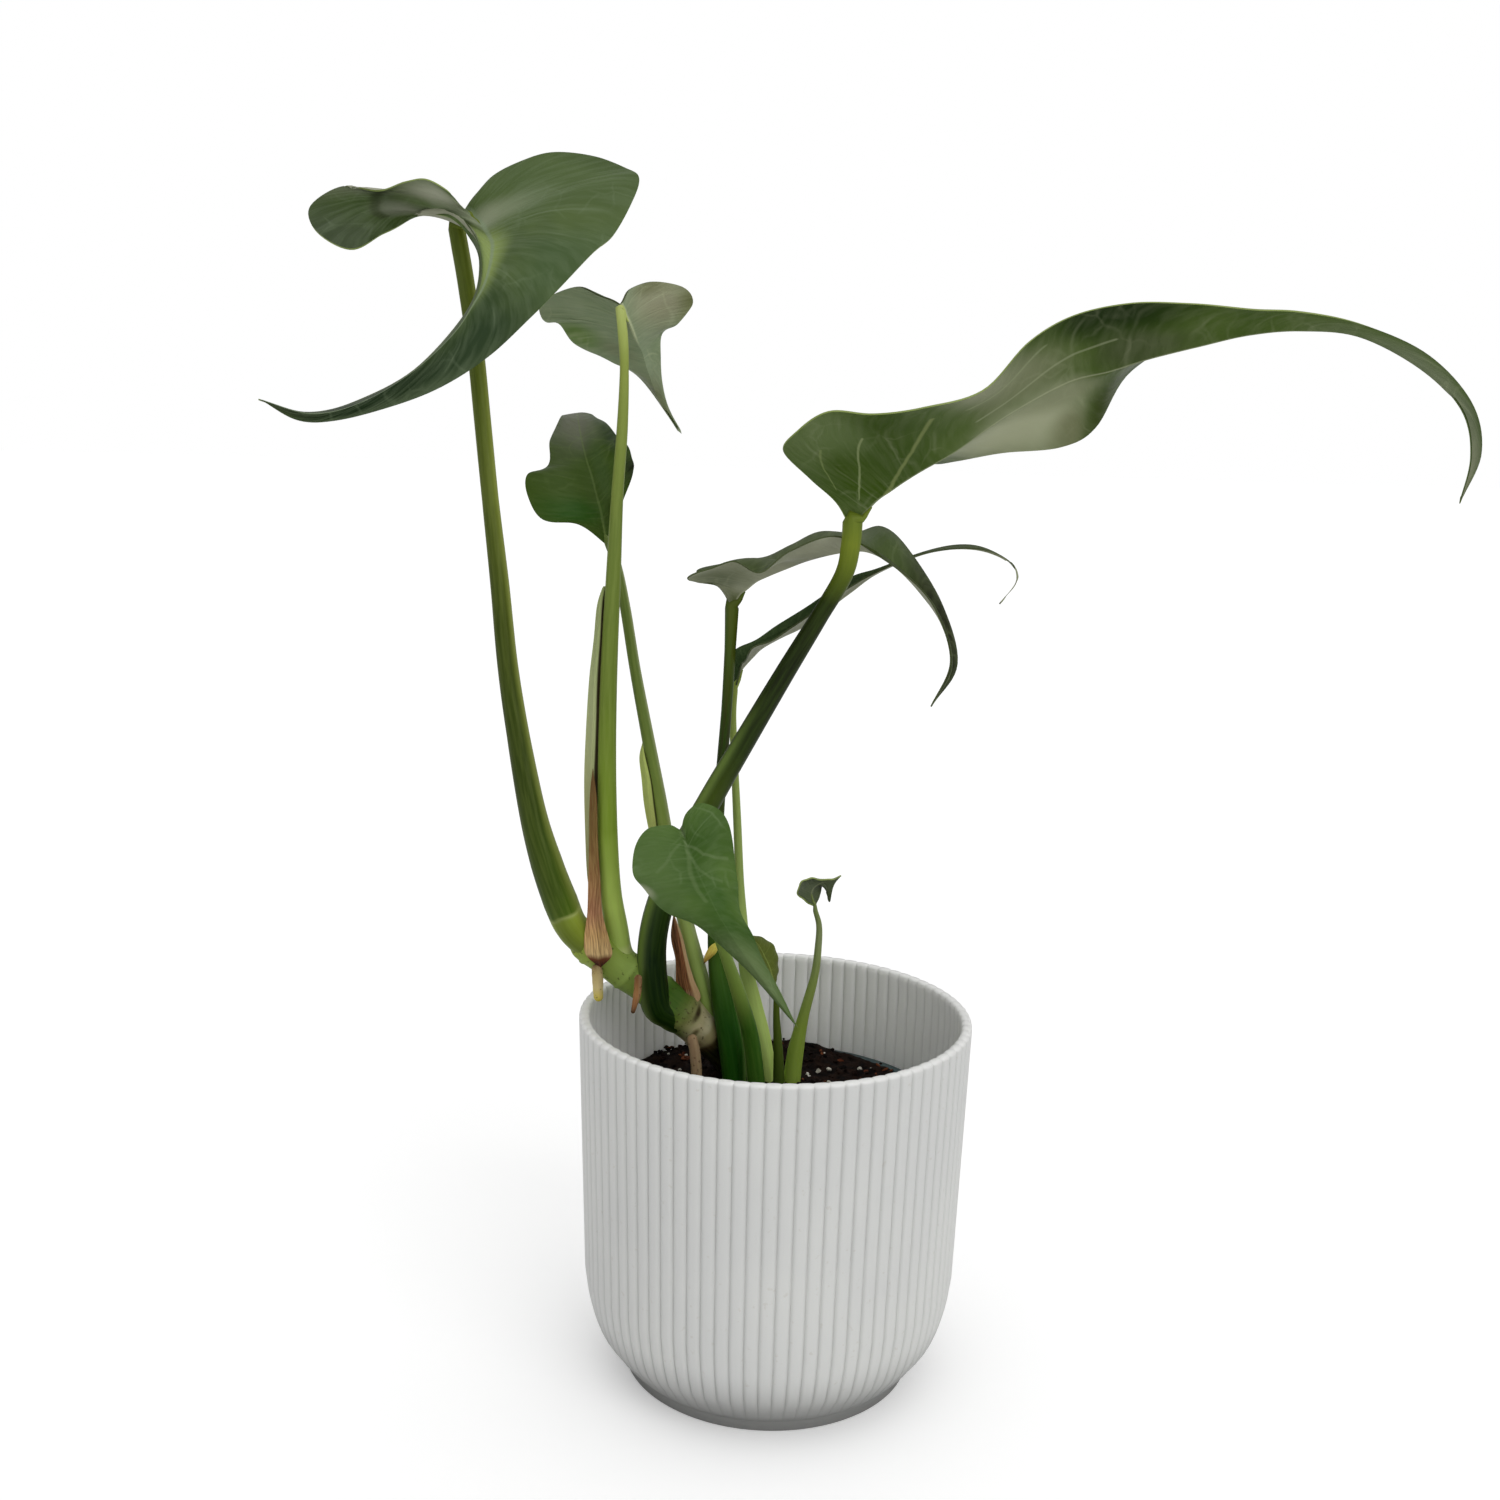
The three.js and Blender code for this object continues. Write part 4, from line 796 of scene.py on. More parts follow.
# %% Blade surface
BLADE_ARCH = 0.07
BLADE_THICKNESS = 0.55
RIPPLE_SPEED = 34
RIPPLE_SHIFT = 5
LOOK_AHEAD = 0.01


def half_middle(leaf, side, v):
    """The curve halfway between the midrib and one margin. The blade is arched up there."""
    if "middle_" + side in leaf:
        return through(leaf["middle_" + side], v)

    def halfway(at):
        return (through(leaf[side], at) + through(leaf["mid"], at)) / 2

    ahead = halfway(np.minimum(v + LOOK_AHEAD, 1)) - halfway(np.maximum(v - LOOK_AHEAD, 0))
    across = through(leaf[side], v) - through(leaf["mid"], v)
    up = unit(np.cross(across if side == "right" else -across, ahead))
    return halfway(v) + BLADE_ARCH * np.linalg.norm(across, axis=-1, keepdims=True) * up


def blade_places(leaf, rows, columns):
    """Places and upward directions of a blade, from stalk to tip and from the left margin to the right."""
    v = np.linspace(0, 1, rows + 1)
    s = np.linspace(-1, 1, columns + 1)
    rib = through(leaf["mid"], v)[:, None]
    h = np.abs(s)[None, :, None]
    left, right = (
        rib * (1 - h) * (1 - 2 * h)
        + half_middle(leaf, side, v)[:, None] * 4 * h * (1 - h)
        + through(leaf[side], v)[:, None] * h * (2 * h - 1)
        for side in ("left", "right")
    )
    places = np.where(s[None, :, None] < 0, left, right)
    up = unit(np.cross(np.gradient(places, axis=1), np.gradient(places, axis=0)))
    return v, s, places, up


# %% Blades
for letter, rows, columns, ripple in (
    ("a", 152, 36, 0.5), ("b", 90, 28, 0.5), ("c", 100, 28, 0.5), ("d", 90, 28, 0.4), ("e", 160, 36, 0.5),
    ("f", 117, 28, 0.4), ("g", 117, 28, 0.4), ("h", 50, 20, 0.2), ("i", 56, 20, 0.2),
):
    v, s, places, up = blade_places(LEAVES[letter], rows, columns)
    fade = np.sin(np.pi * v)[:, None] ** 0.5
    wave = np.sin(RIPPLE_SPEED * v[:, None] + RIPPLE_SHIFT * np.sign(s)) * np.abs(s) ** 3 * fade
    piece = grid_piece("leaf_" + letter, places + up * (ripple * wave)[:, :, None])
    for finish in LEAF_SIDES[letter]:
        piece.data.materials.append(finish)
    thicken(piece, BLADE_THICKNESS, -1, material_offset=1, material_offset_rim=2)
    smooth(piece)
    hand_over(piece, "leaf", "blade_" + letter)

# %% [markdown]
# ## Stalks
#
# A stalk is a grid rolled round its curve. At the top it runs on under the blade as the midrib and thins out
# there, as the real one does, so leaf and stalk are one growth. At the bottom the older stalks bend into the
# stem, so their grids start inside it. The younger ones come out of the soil, and most of them still show a
# groove at the foot, where their sheath is folded.

# %% Rolled grids
def frames_along(path, start=(0, 1, 0)):
    """Directions across a path that turn with it as little as possible. The seam starts at the back."""
    ahead = unit(np.gradient(path, axis=0))
    across = np.empty_like(path)
    side = np.asarray(start, float)
    for i, direction in enumerate(ahead):
        side = side - direction * side.dot(direction)
        side /= np.linalg.norm(side)
        across[i] = side
    return across, np.cross(ahead, across)


def rolled(name, path, radius, columns, along=None, shape=None):
    """A round piece along a path, closed and rounded at both ends."""
    steps = np.linalg.norm(np.diff(path, axis=0), axis=1)
    length = np.concatenate([[0], np.cumsum(steps)])
    extra = []
    for end, reach in ((0.0, radius[0]), (length[-1], radius[-1])):
        extra += [abs(end - reach * x) for x in (0.05, 0.2, 0.45, 0.75)]
    stations = np.unique(np.concatenate([length, extra]))
    along = length / length[-1] if along is None else along
    path = np.column_stack([np.interp(stations, length, path[:, k]) for k in range(3)])
    size = np.interp(stations, length, radius)
    along = np.interp(stations, length, along)
    from_end = np.minimum(stations / radius[0], (length[-1] - stations) / radius[-1])
    size = size * np.sqrt(1 - (1 - np.clip(from_end, 0, 1)) ** 2)
    across, beside = frames_along(path)
    turn = np.linspace(0, 2 * np.pi, columns + 1)
    ring = size[:, None] * (1 if shape is None else shape(along[:, None], turn[None, :]))
    places = path[:, None] + ring[..., None] * (
        np.cos(turn)[None, :, None] * across[:, None] + np.sin(turn)[None, :, None] * beside[:, None]
    )
    piece = grid_piece(name, places, along)
    smooth(piece, 80)
    return piece


# %% Stalk finishes
SPECK = "#3c2a18"
FLANK_FADE = 0.12


def stalk_finish(name, stops, streak, amount, roughness=0.42, specks=0.0, flanks="", patches=""):
    """A stalk or stem: colours at places along it, with long pale streaks and a few dark specks.

    A flank is a stripe along it: a place round it (0.25 left, 0.5 front, 0.75 right), half its width, the
    height where it ends, its colour and its strength. Most flanks are painted light, a painted highlight on
    the side that faces the light and painted shade on the side away from it; the brown one on stalk G is its
    own colour."""
    material, shader, solid = new_finish(name, roughness, Specular_IOR_Level=0.15)
    figure = use_group(streaks, Reach=uv(shader, "reach"), Solid=solid, Fineness=9.0)
    place = uv(shader, "UVMap")
    where = split(place)
    drift = maths("MULTIPLY_ADD", figure["Cloud"], 0.02, where["Y"])
    colour = coloured_along(drift, stops)
    for centre, width, until, tone, strength in table(flanks):
        apart = maths("PINGPONG", maths("SUBTRACT", where["X"], centre), 0.5)
        height = ramp_to(drift, until - FLANK_FADE, until, strength, 0.0)
        colour = over(times(ramp_to(apart, 0.0, width, 1.0, 0.0), height), colour, tone)
    colour = patched(colour, place, solid, patches)
    colour = over(times(figure["Streak"], amount), colour, streak)
    colour = over(times(figure["Speck"], specks), colour, SPECK)
    painted(shader, colour, figure["Streak"], strength=0.12, depth=0.0003)
    return material


# %% Colours of the stalks
STALK_COLOURS = {
    "a": """0 #8b9c2e, 0.045 #96a83a, 0.055 #b0bc6c, 0.067 #506c0c, 0.13 #3e5604, 0.3 #324202,
    0.46 #424e06, 0.62 #707c2e, 0.78 #606e1c, 1 #5e6c14""",
    "b": """0 #9eb85c, 0.03 #becc80, 0.05 #aac460, 0.15 #b2cc60, 0.28 #7a942c, 0.45 #687c2a, 0.65 #6c7e36,
    0.86 #94a24c, 0.94 #b0be68, 1 #bcc876""",
    "c": "0 #9cb860, 0.3 #9aae60, 0.48 #7e9244, 0.62 #627632, 1 #586a2e",
    "d": "0 #285010, 0.3 #345e16, 0.42 #768e3e, 1 #7c9050",
    "e": """0 #102a04, 0.1 #062002, 0.26 #2c440c, 0.42 #425218, 0.5 #223004, 0.62 #161f02, 0.74 #222d02,
    0.79 #4e5c12, 0.85 #68761e, 0.92 #7a8826, 1 #728228""",
    "f": "0 #164c06, 0.25 #1c5208, 0.4 #3a5c12, 0.6 #3c4e06, 0.74 #283002, 0.86 #424c0c, 1 #58621e",
    "g": "0 #d4f07c, 0.2 #c8e280, 0.4 #a8c268, 0.6 #8ea458, 0.8 #8ea254, 1 #8c9c46",
    "h": "0 #2c4414, 1 #54641e",
    "i": "0 #a0c04e, 0.4 #7e9438, 0.75 #808c60, 1 #6e7c48",
}
# Painted light and shade round the stalks: the pale flanks are painted highlights, and the dark ones, such as
# #2c3c00 on A and #0a1c02 on E, are painted shade. G's brown #603c1e is the stalk's own colour.
FLANK_LIGHT_SHADE_AND_STRIPES = {
    "a": "0.42 0.22 1.1 #2c3c00 0.6, 0.7 0.12 1.1 #9ea854 0.6",
    "b": "0.3 0.08 0.85 #96a464 0.35",
    "c": "0.7 0.12 1.1 #a8b284 0.6",
    "d": "0.3 0.06 0.42 #82a05c 0.7",
    "e": "0.31 0.11 0.58 #7a9246 0.65, 0.68 0.2 0.6 #0a1c02 0.5, 0.72 0.06 0.9 #54583c 0.5",
    "f": "0.72 0.06 0.4 #789850 0.8, 0.3 0.2 1.1 #1e3202 0.5",
    "g": "0.3 0.03 0.4 #603c1e 0.8",
}
PLAIN_STREAK = ("#96a454", 0.2)
STREAKED = {
    "a": ("#96a454", 0.12), "d": ("#6e8c3c", 0.2), "e": ("#46601e", 0.2), "f": ("#3c6822", 0.3),
    "h": ("#506428", 0.2),
}

# %% Feet and midribs of the stalks
# The points of a foot lie inside the stem. A share is the part of the leaf's length along which its stalk
# shows as the midrib.
FEET = {
    "a": "-60 5.5 148 6.2, -67.5 3.2 154.5 6.3",
    "b": "-50 8 141 5.6",
    "c": "-23.5 19 116 5, -24.5 17 124 3.6",
    "e": "-31 13.2 122.5 7.2, -38 9.8 127 6.7",
}
MIDRIB_SHARE = {"a": 0.45, "b": 0.3, "e": 0.1, "f": 0.12, "g": 0.12}
MIDRIB_ROWS = 100
MIDRIB_END = 0.25
GROOVED = {"f": 0.5, "g": 0.5, "i": 0.4, "c": 0.25}
GROOVE_AT = 4.04
GROOVE_END = 0.45
GROOVE_SHARPNESS = 20


def groove_of(depth):
    """A groove in the foot of a stalk, where its sheath's two wings meet. It fades out upwards."""

    def shape(along, turn):
        fade = np.clip(1 - along / GROOVE_END, 0, 1)
        apart = (turn - GROOVE_AT + np.pi) % (2 * np.pi) - np.pi
        return 1 - depth * fade * np.exp(-(apart**2) * GROOVE_SHARPNESS)

    return shape


# %% Stalk meshes
for letter in STALKS:
    foot, stalk = table(FEET.get(letter, "")), table(STALKS[letter])
    t, path, radius = tube_through(foot + stalk, steps=8)
    along = (t * (len(foot + stalk) - 1) - len(foot)) / (len(stalk) - 1)
    share = MIDRIB_SHARE.get(letter, 0.3)
    v, s, places, up = blade_places(LEAVES[letter], MIDRIB_ROWS, 8)
    chosen = slice(5, int(MIDRIB_ROWS * share) + 1)
    rib, v, up = places[chosen, 4], v[chosen], up[chosen, 4]
    thin = (0.5 * radius[-1] * (1 - v / share) + MIDRIB_END)[:, None]
    path = np.vstack([path, rib - up * (0.5 + 0.3 * thin)])
    radius = np.concatenate([radius, thin[:, 0]])
    shape = groove_of(GROOVED[letter]) if letter in GROOVED else None
    piece = rolled("stalk_" + letter, path, radius, 24, np.concatenate([along, 1 + v]), shape)
    streak, amount = STREAKED.get(letter, PLAIN_STREAK)
    skin = stalk_finish(
        f"stalk_{letter}_skin", STALK_COLOURS[letter], streak, amount, flanks=FLANK_LIGHT_SHADE_AND_STRIPES.get(letter, "")
    )
    piece.data.materials.append(skin)
    hand_over(piece, "stalk_dark" if letter in "def" else "stalk_green", "petiole_" + letter)

# %% [markdown]
# ## Stem and roots
#
# The stem is a thick creeping shoot. Leaf scars ring it, its joints swell a little, and it turns pale at a
# joint and then dark brown to almost black where it nears the soil. The roots are blunt tan pegs.

# %% Stem
STEM_COLOURS = """0 #8b9c2e, 0.24 #8fa852, 0.36 #76943a, 0.4 #3e621a, 0.47 #42641e, 0.5 #5c702c,
    0.53 #888a54, 0.57 #c8be94, 0.62 #b2a67a, 0.655 #544028, 0.69 #18110d, 1 #120c09"""
NODE_SPOTS = """0.64 0.53 0.16 0.05 #4a6224 0.8, 0.38 0.585 0.14 0.024 #e4dcb6 0.85,
    0.36 0.53 0.12 0.012 #342012 0.95, 0.5 0.56 0.05 0.012 #584a28 0.85, 0.3 0.625 0.1 0.02 #301e12 0.95,
    0.6 0.615 0.08 0.02 #604628 0.8"""
SCARS = (0.12, 0.3, 0.47, 0.58, 0.7)
SCAR_HEIGHT = 0.45
SCAR_WIDTH = 0.008


def gnarled(along, turn):
    """Small swellings that keep the stem from looking turned on a lathe."""
    return 1 + 0.03 * np.sin(3 * turn + 9 * along) + 0.025 * np.sin(5 * turn - 31 * along)


t, path, radius = tube_through(STEM, steps=15)
for scar in SCARS:
    radius = radius + SCAR_HEIGHT * np.exp(-(((t - scar) / SCAR_WIDTH) ** 2))
stem = rolled("creeping_stem", path, radius, columns=40, shape=gnarled)
stem.data.materials.append(
    stalk_finish(
        "stem_skin", STEM_COLOURS, "#96a454", 0.12, roughness=0.45, specks=0.6, patches=NODE_SPOTS
    )
)
hand_over(stem, "stem", "main_stem")

# %% Roots
ROOT_COLOURS = {
    "root_1": "0 #685030, 0.25 #b09c68, 0.6 #d6c48a, 0.85 #d6c45c, 1 #d6c63c",
    "root_2": "0 #704a2c, 0.5 #b07c4c, 0.8 #965e38, 1 #2c1a12",
    "root_3": "0 #967a5c, 0.5 #8e765a, 1 #745a42",
}
for name, root in ROOTS.items():
    t, path, radius = tube_through(table(root), steps=10)
    piece = rolled(name + "_peg", path, radius, columns=18, shape=gnarled)
    skin = stalk_finish(name + "_skin", ROOT_COLOURS[name], "#beaa82", 0.3, roughness=0.8, specks=0.5)
    piece.data.materials.append(skin)
    hand_over(piece, "root", name)

# %% [markdown]
# ## Sheaths and dry scales
#
# Each stalk was wrapped in a scale leaf when it was young. Two of them are still green strips with a dark
# inner edge, two have dried to striped brown husks, and one small one is yellow with a burnt tip. They are
# narrow blades made the same way as the leaves. The edge of the sheath on stalk B is tucked under the stalk.

# %% Scale finishes
SCALE_THICKNESS = 0.5
EDGE_FADE = 0.12
NO_EDGE = 1.5


def scale_finish(name, stops, streak, amount, edge, edge_from):
    """A dry or green scale: colours along it, streaks, and on some a stripe along the right edge."""
    material, shader, solid = new_finish(name, 0.7, Specular_IOR_Level=0.2)
    figure = use_group(streaks, Reach=uv(shader, "reach"), Solid=solid, Fineness=22.0)
    where = split(uv(shader, "UVMap"))
    colour = coloured_along(maths("MULTIPLY_ADD", figure["Cloud"], 0.06, where["Y"]), stops)
    colour = over(times(figure["Streak"], amount), colour, streak)
    colour = over(ramp_to(where["X"], edge_from, edge_from + EDGE_FADE), colour, edge)
    painted(shader, colour, figure["Streak"], strength=0.5, depth=0.0004)
    return material


# Slot, material, colours along it, colour and amount of the streaks, colour of the edge and where it starts.
SCALE_LOOKS = {
    "sheath_b": (
        "sheath", "sheath_b_skin", "0 #96a662, 0.5 #b6c08a, 1 #a89e64", "#aeb486", 0.35, "#2c220c", 0.6,
    ),
    "sheath_c": (
        "sheath", "sheath_c_skin", "0 #baca6a, 0.5 #c2d074, 1 #babc6a", "#b4c078", 0.35, "#404618", 0.78,
    ),
    "cataphyll_1": (
        "dry_leaf", "husk_1",
        """0 #624e2c, 0.3 #86703e, 0.48 #b08858, 0.6 #c4906a, 0.72 #e4ba7c, 0.9 #e4c48a, 0.95 #683a22,
        1 #361e14""",
        "#683a1e", 0.62, "#6e3c28", NO_EDGE,
    ),
    "cataphyll_2": (
        "dry_leaf", "husk_2", "0 #966c48, 0.4 #96603a, 0.7 #966840, 0.9 #d2b08a, 1 #c4b48c",
        "#3c1a0e", 0.75, "#ceaa7e", 0.72,
    ),
    "bract": (
        "bract_yellow", "bract_skin", "0 #1e120c, 0.1 #3c2210, 0.2 #deaa4a, 1 #d8d654",
        "#ece282", 0.4, "#784628", NO_EDGE,
    ),
}

# %% Scales
TUCKED = 1.6

SCALES["sheath_b"]["right"] = [(x + TUCKED, y, z) for x, y, z in SCALES["sheath_b"]["right"]]
for name, (slot, *look) in SCALE_LOOKS.items():
    piece = grid_piece(name + "_scale", blade_places(SCALES[name], 70, 16)[2])
    piece.data.materials.append(scale_finish(*look))
    thicken(piece, SCALE_THICKNESS, 0)
    smooth(piece)
    hand_over(piece, slot, name)

# %% [markdown]
# ## Cover pot
#
# A cast pot of satin off-white ceramic. Its wall is drawn up ring by ring from the foot, over the rim and
# down inside. Then 84 flutes are pressed in: each is a shallow arch between two sharp grooves, and the
# grooves fade out above the foot. Inside they show as soft waves. A little painted shade darkens the glaze
# colour in the grooves, and since a groove's place is an angle, the shader finds it from the Object
# coordinates.

# %% Turned pieces
def turned(name, segments, profile, first_turn):
    """A closed turned piece: a disc drawn from one radius and height, in millimetres, to the next."""
    (radius, height), *others = profile
    bpy.ops.mesh.primitive_circle_add(
        vertices=segments, radius=radius * MM, fill_type="NGON", location=(0, 0, height * MM),
        rotation=(0, 0, first_turn),
    )
    piece = bpy.context.object
    piece.name = name
    piece.data.name = name
    choose(piece)
    bpy.ops.object.transform_apply(location=True, rotation=True)
    bpy.ops.object.mode_set(mode="EDIT")
    bpy.ops.mesh.select_all(action="SELECT")
    for wider, higher in others:
        bpy.ops.mesh.extrude_region_move()
        bpy.ops.transform.resize(value=(wider / radius, wider / radius, 1))
        bpy.ops.transform.translate(value=(0, 0, (higher - height) * MM))
        radius, height = wider, higher
    bpy.ops.object.mode_set(mode="OBJECT")
    return piece


# %% Cover pot
RIBS = 84
COLUMNS_PER_RIB = 8
FIRST_GROOVE = math.radians(2.31)
PINCH = 0.6
GROOVE_OUTSIDE = 0.85
GROOVE_INSIDE = 0.7

foot = table("51.4 0, 52 0.5, 52.3 3.6, 53 4.6, 54.8 6.2, 56.8 8.5")
bowl = through(table("58.5 11, 62.1 16, 64.4 22, 66.1 29, 67.2 37"), np.linspace(0, 1, 13)).tolist()
wall = [(67.2 + 2.8 * (z - 37) / 95, z) for z in (46, 58, 70, 82, 94, 106, 116, 123, 127, 129.5)]
rim = table("69.95 130.9, 69.7 131.6, 69.2 132, 67.4 132, 66.6 131.7, 66.2 131, 66.2 129.4")
inside = table("66.4 126, 66.5 122, 66.2 108, 65.7 90, 65.1 68, 64.2 45, 61 24, 55 12, 44 7")
pot = turned("ribbed_pot", RIBS * COLUMNS_PER_RIB, foot + bowl + wall + rim + inside, FIRST_GROOVE)


def press_flutes(mesh):
    """Moves each column towards its nearest groove, and the columns at a groove into the wall."""
    places = np.empty(len(mesh.vertices) * 3)
    mesh.vertices.foreach_get("co", places)
    x, y, z = places.reshape(-1, 3).T / MM
    radius = np.hypot(x, y)
    rib, share = np.divmod((np.arctan2(x, -y) - FIRST_GROOVE) / (2 * np.pi / RIBS) + 1e-6, 1)
    share = share - PINCH * np.sin(2 * np.pi * share) / (2 * np.pi)
    turn = FIRST_GROOVE + (rib + share) * 2 * np.pi / RIBS
    outer = radius > np.interp(z, [0, 7, 24, 60, 131.9, 132], [0, 48, 62.5, 66.3, 68.4, 68.4])
    fade_out = np.interp(z, [4.5, 8, 20], [0, 0.45, 1])
    fade_in = np.interp(z, [14, 40], [0, 1])
    depth = np.where(outer, -GROOVE_OUTSIDE * fade_out, GROOVE_INSIDE * fade_in)
    radius = radius + depth * np.abs(2 * share - 1) ** 4
    places = np.column_stack([radius * np.sin(turn), -radius * np.cos(turn), z]) * MM
    mesh.vertices.foreach_set("co", places.ravel())
    mesh.update()


press_flutes(pot.data)
smooth(pot, 60)

# %% Pot glaze
# Object coordinates are metres, so the heights and radii here are too.
material, shader, solid = new_finish("pot_glaze", 0.38, Coat_Weight=0.15, Coat_Roughness=0.25)
colour = over(ramp_to(cloudy(solid, 14.0, 3.0), 0.35, 0.65), "#d9dad8", "#dedfdc")
colour = over(ramp_to(cloudy(solid, 420.0), 0.66, 0.76, 0.0, 0.25), colour, "#beb8aa")
x, y, z = split(solid)
from_axis = maths("SQRT", maths("MULTIPLY_ADD", x, x, times(y, y)))
# Painted light: the inside wall, above 5 to 8 cm, is a brighter white, as if more light reached it.
inside_painted_light = times(ramp_to(from_axis, 0.0668, 0.0676, 1.0, 0.0), ramp_to(z, 0.05, 0.08))
colour = over(inside_painted_light, colour, "#fafaf8")
# A painted highlight: the top of the rim is lighter, where it faces the light overhead.
colour = over(ramp_to(z, 0.1305, 0.1316), colour, "#ececea")
# Painted shade: the glaze turns dark grey towards the foot, where the bowl curves under into shade.
colour = over(ramp_to(z, 0.002, 0.03, 0.8, 0.0), colour, "#6c6c6a")
# Painted shade in the grooves: the glaze colour is darker at each groove, found from its angle round the pot.
turn = maths("SUBTRACT", maths("ARCTAN2", x, times(y, -1.0)), FIRST_GROOVE)
turn = maths("DIVIDE", turn, 2 * math.pi / RIBS)
groove = ramp_to(maths("PINGPONG", turn, 0.5), 0.02, 0.24, 0.14, 0.0)
groove = times(groove, ramp_to(z, 0.006, 0.02))
groove = times(groove, ramp_to(z, 0.1295, 0.1315, 1.0, 0.0))
colour = over(groove, colour, "#8c8c88")
painted(shader, colour, cloudy(solid, 900.0), strength=0.12, depth=0.0002)
pot.data.materials.append(material)
hand_over(pot, "pot_ceramic", "cover_pot")

# %% [markdown]
# ## Nursery pot
#
# The plant stays in the thin dark plastic pot it was sold in. Only a crescent of its rim shows at the right,
# so the rest is a plain tapered pot with a flange.

# %% Nursery pot
outside = table("42 7.3, 44.6 8, 46 10.3, 53.5 52, 60.8 92.6, 61.2 93.6, 63.2 93.8, 63.5 94.2")
inside = table("63.5 95.6, 63.2 96, 60.2 96, 59.8 95.6, 52.3 52, 44.8 10.6, 41 8.5")
nursery = turned("dark_nursery_pot", 128, outside + inside, 0)
smooth(nursery, 40)
material, shader, solid = new_finish("nursery_skin", 0.45)
scuff = cloudy(solid, 60.0, 4.0)
colour = over(ramp_to(scuff, 0.4, 0.7), "#263a3e", "#384e50")
painted(shader, colour, scuff, strength=0.2, depth=0.0004)
nursery.data.materials.append(material)
hand_over(nursery, "nursery_plastic", "nursery_pot")

# %% [markdown]
# ## Potting mix
#
# The soil fills the nursery pot and spills over its rim at the back left. It is black and lumpy, with crumbs
# of bark and white perlite on top. The body is a grid rolled up from rings, and its top is raised in lumps.
# The crumbs are 865 small grains of different size and turn, made as one mesh. By hand each would be a plain
# ball that is dented in sculpt mode, so the code copies one ball and dents it.

# %% Soil body
SOIL_Z = 97.6
SOIL_FLOOR = 96.5
POT_INSIDE = 58.3
SPILL = 6.7
SPILL_TURN = math.radians(165)


def soil_spill(turn):
    """1 where the soil lies over the nursery pot's rim, and 0 where the rim shows. turn is from +X to +Y."""
    f = np.clip((np.cos(turn - SPILL_TURN) + 0.35) / 0.45, 0, 1)
    return f * f * (3 - 2 * f)


def soil_height(x, y):
    """Height of the soil's top, in millimetres: a low mound with clods."""
    mound = SOIL_Z + 1.9 * np.clip(1 - np.hypot(x, y) / 60, 0, 1)
    broad = 0.7 * (np.sin(x / 5.1 + 1) * np.cos(y / 4.3) + np.sin((x + y) / 9))
    fine = [noise.fractal(Vector((a / 3.1, b / 3.1, 0.4)), 0.7, 2.2, 4) for a, b in zip(x.flat, y.flat)]
    return mound + broad + 1.3 * np.reshape(fine, x.shape)


turn = np.linspace(0, 2 * np.pi, 181)
edge = POT_INSIDE + SPILL * soil_spill(turn)
under = [(0, 8.9), (39.5, 8.9), (44.4, 11.8), (POT_INSIDE, 90), (np.minimum(edge, 58.7), 96.4), (edge, 96.45)]
places = [np.column_stack([r * np.cos(turn), r * np.sin(turn), np.full_like(turn, z)]) for r, z in under]
for share in np.append(np.linspace(1, 0.04, 56), 0.0):
    r = share * (edge - 0.6)
    x, y = r * np.cos(turn), r * np.sin(turn)
    drop = 1.1 * np.clip((share - 0.94) / 0.06, 0, 1) ** 2
    places.append(np.column_stack([x, y, np.maximum(soil_height(x, y) - drop, SOIL_FLOOR)]))
places = np.array(places)
places[:, -1] = places[:, 0]
soil = grid_piece("soil_body", places)
smooth(soil, 40)

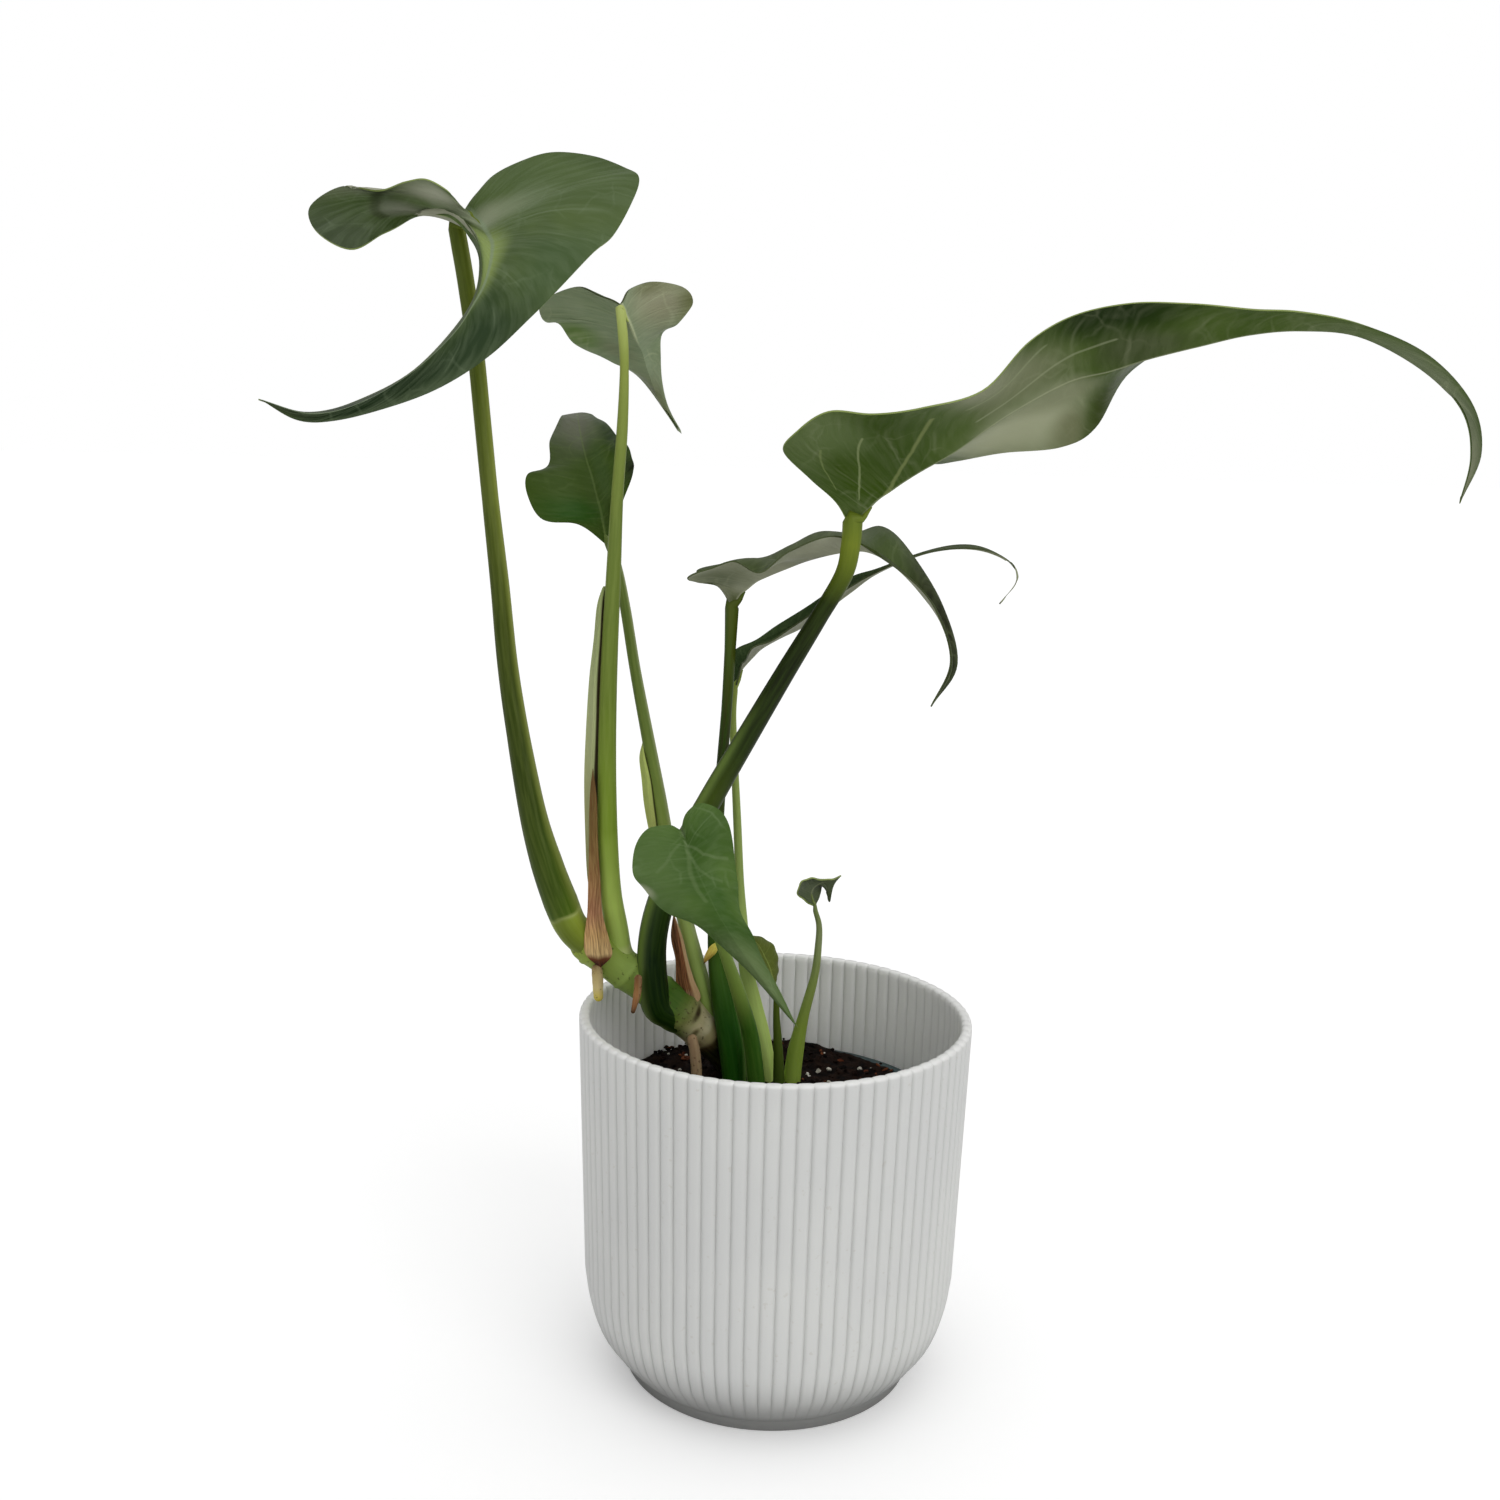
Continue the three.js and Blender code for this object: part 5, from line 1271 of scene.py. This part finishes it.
# %% Crumbs
# Name, number, smallest and largest size in millimetres, form, darkest and lightest colour.
CRUMBS = (
    ("dark", 620, (0.5, 1.5), (1.0, 0.85, 0.6), "#0a0605", "#20140e"),
    ("bark", 150, (0.8, 2.3), (1.0, 0.6, 0.35), "#421c10", "#70422a"),
    ("perlite", 95, (0.5, 1.3), (1.0, 0.85, 0.75), "#b0aca0", "#cecbc2"),
)
random.seed(7)
bpy.ops.mesh.primitive_ico_sphere_add(subdivisions=2, radius=1)
ball = bpy.context.object
ball_corners = np.array([vertex.co for vertex in ball.data.vertices])
ball_faces = np.array([face.vertices for face in ball.data.polygons])
bpy.data.objects.remove(ball)
corners, faces, kinds = [], [], []
for kind, (label, count, sizes, form, *tones) in enumerate(CRUMBS):
    for _ in range(count):
        angle = random.uniform(0, 2 * math.pi)
        r = (57.5 + 6.5 * float(soil_spill(np.array(angle)))) * math.sqrt(random.random())
        x, y = r * math.cos(angle), r * math.sin(angle)
        size = random.uniform(*sizes) * (0.75 + 0.5 * random.random())
        shift = Vector((random.random() * 40, 0, 0))
        dent = np.array([0.8 + 0.5 * noise.noise(Vector(c) * 1.3 + shift) for c in ball_corners])
        tilt = Euler([random.uniform(-0.6, 0.6), random.uniform(-0.6, 0.6), random.uniform(0, 6.28)])
        grain = (ball_corners * dent[:, None] * np.array(form) * size) @ np.array(tilt.to_matrix()).T
        z = float(soil_height(np.array(x), np.array(y)))
        faces.append(ball_faces + len(ball_corners) * len(corners))
        kinds.append(np.full(len(ball_faces), kind))
        corners.append(grain + (x, y, max(z, 97.2) + 0.25 * size))
mesh = bpy.data.meshes.new("soil_crumbs")
mesh.from_pydata((np.vstack(corners) * MM).tolist(), [], np.vstack(faces).tolist())
mesh.polygons.foreach_set("material_index", np.concatenate(kinds))
crumbs = bpy.data.objects.new("soil_crumbs", mesh)
bpy.context.scene.collection.objects.link(crumbs)

# %% Soil finishes
for label, count, sizes, form, deep, light in CRUMBS:
    material, shader, solid = new_finish("soil_" + label, 0.95, Specular_IOR_Level=0.1)
    colour = over(ramp_to(cloudy(solid, 260.0, 3.0), 0.35, 0.65), deep, light)
    painted(shader, colour, cloudy(solid, 1500.0, 3.0), strength=0.6, depth=0.0006)
    crumbs.data.materials.append(material)
soil.data.materials.append(crumbs.data.materials[0])
hand_over(soil, "potting_mix", "soil")
hand_over(crumbs, "potting_mix")
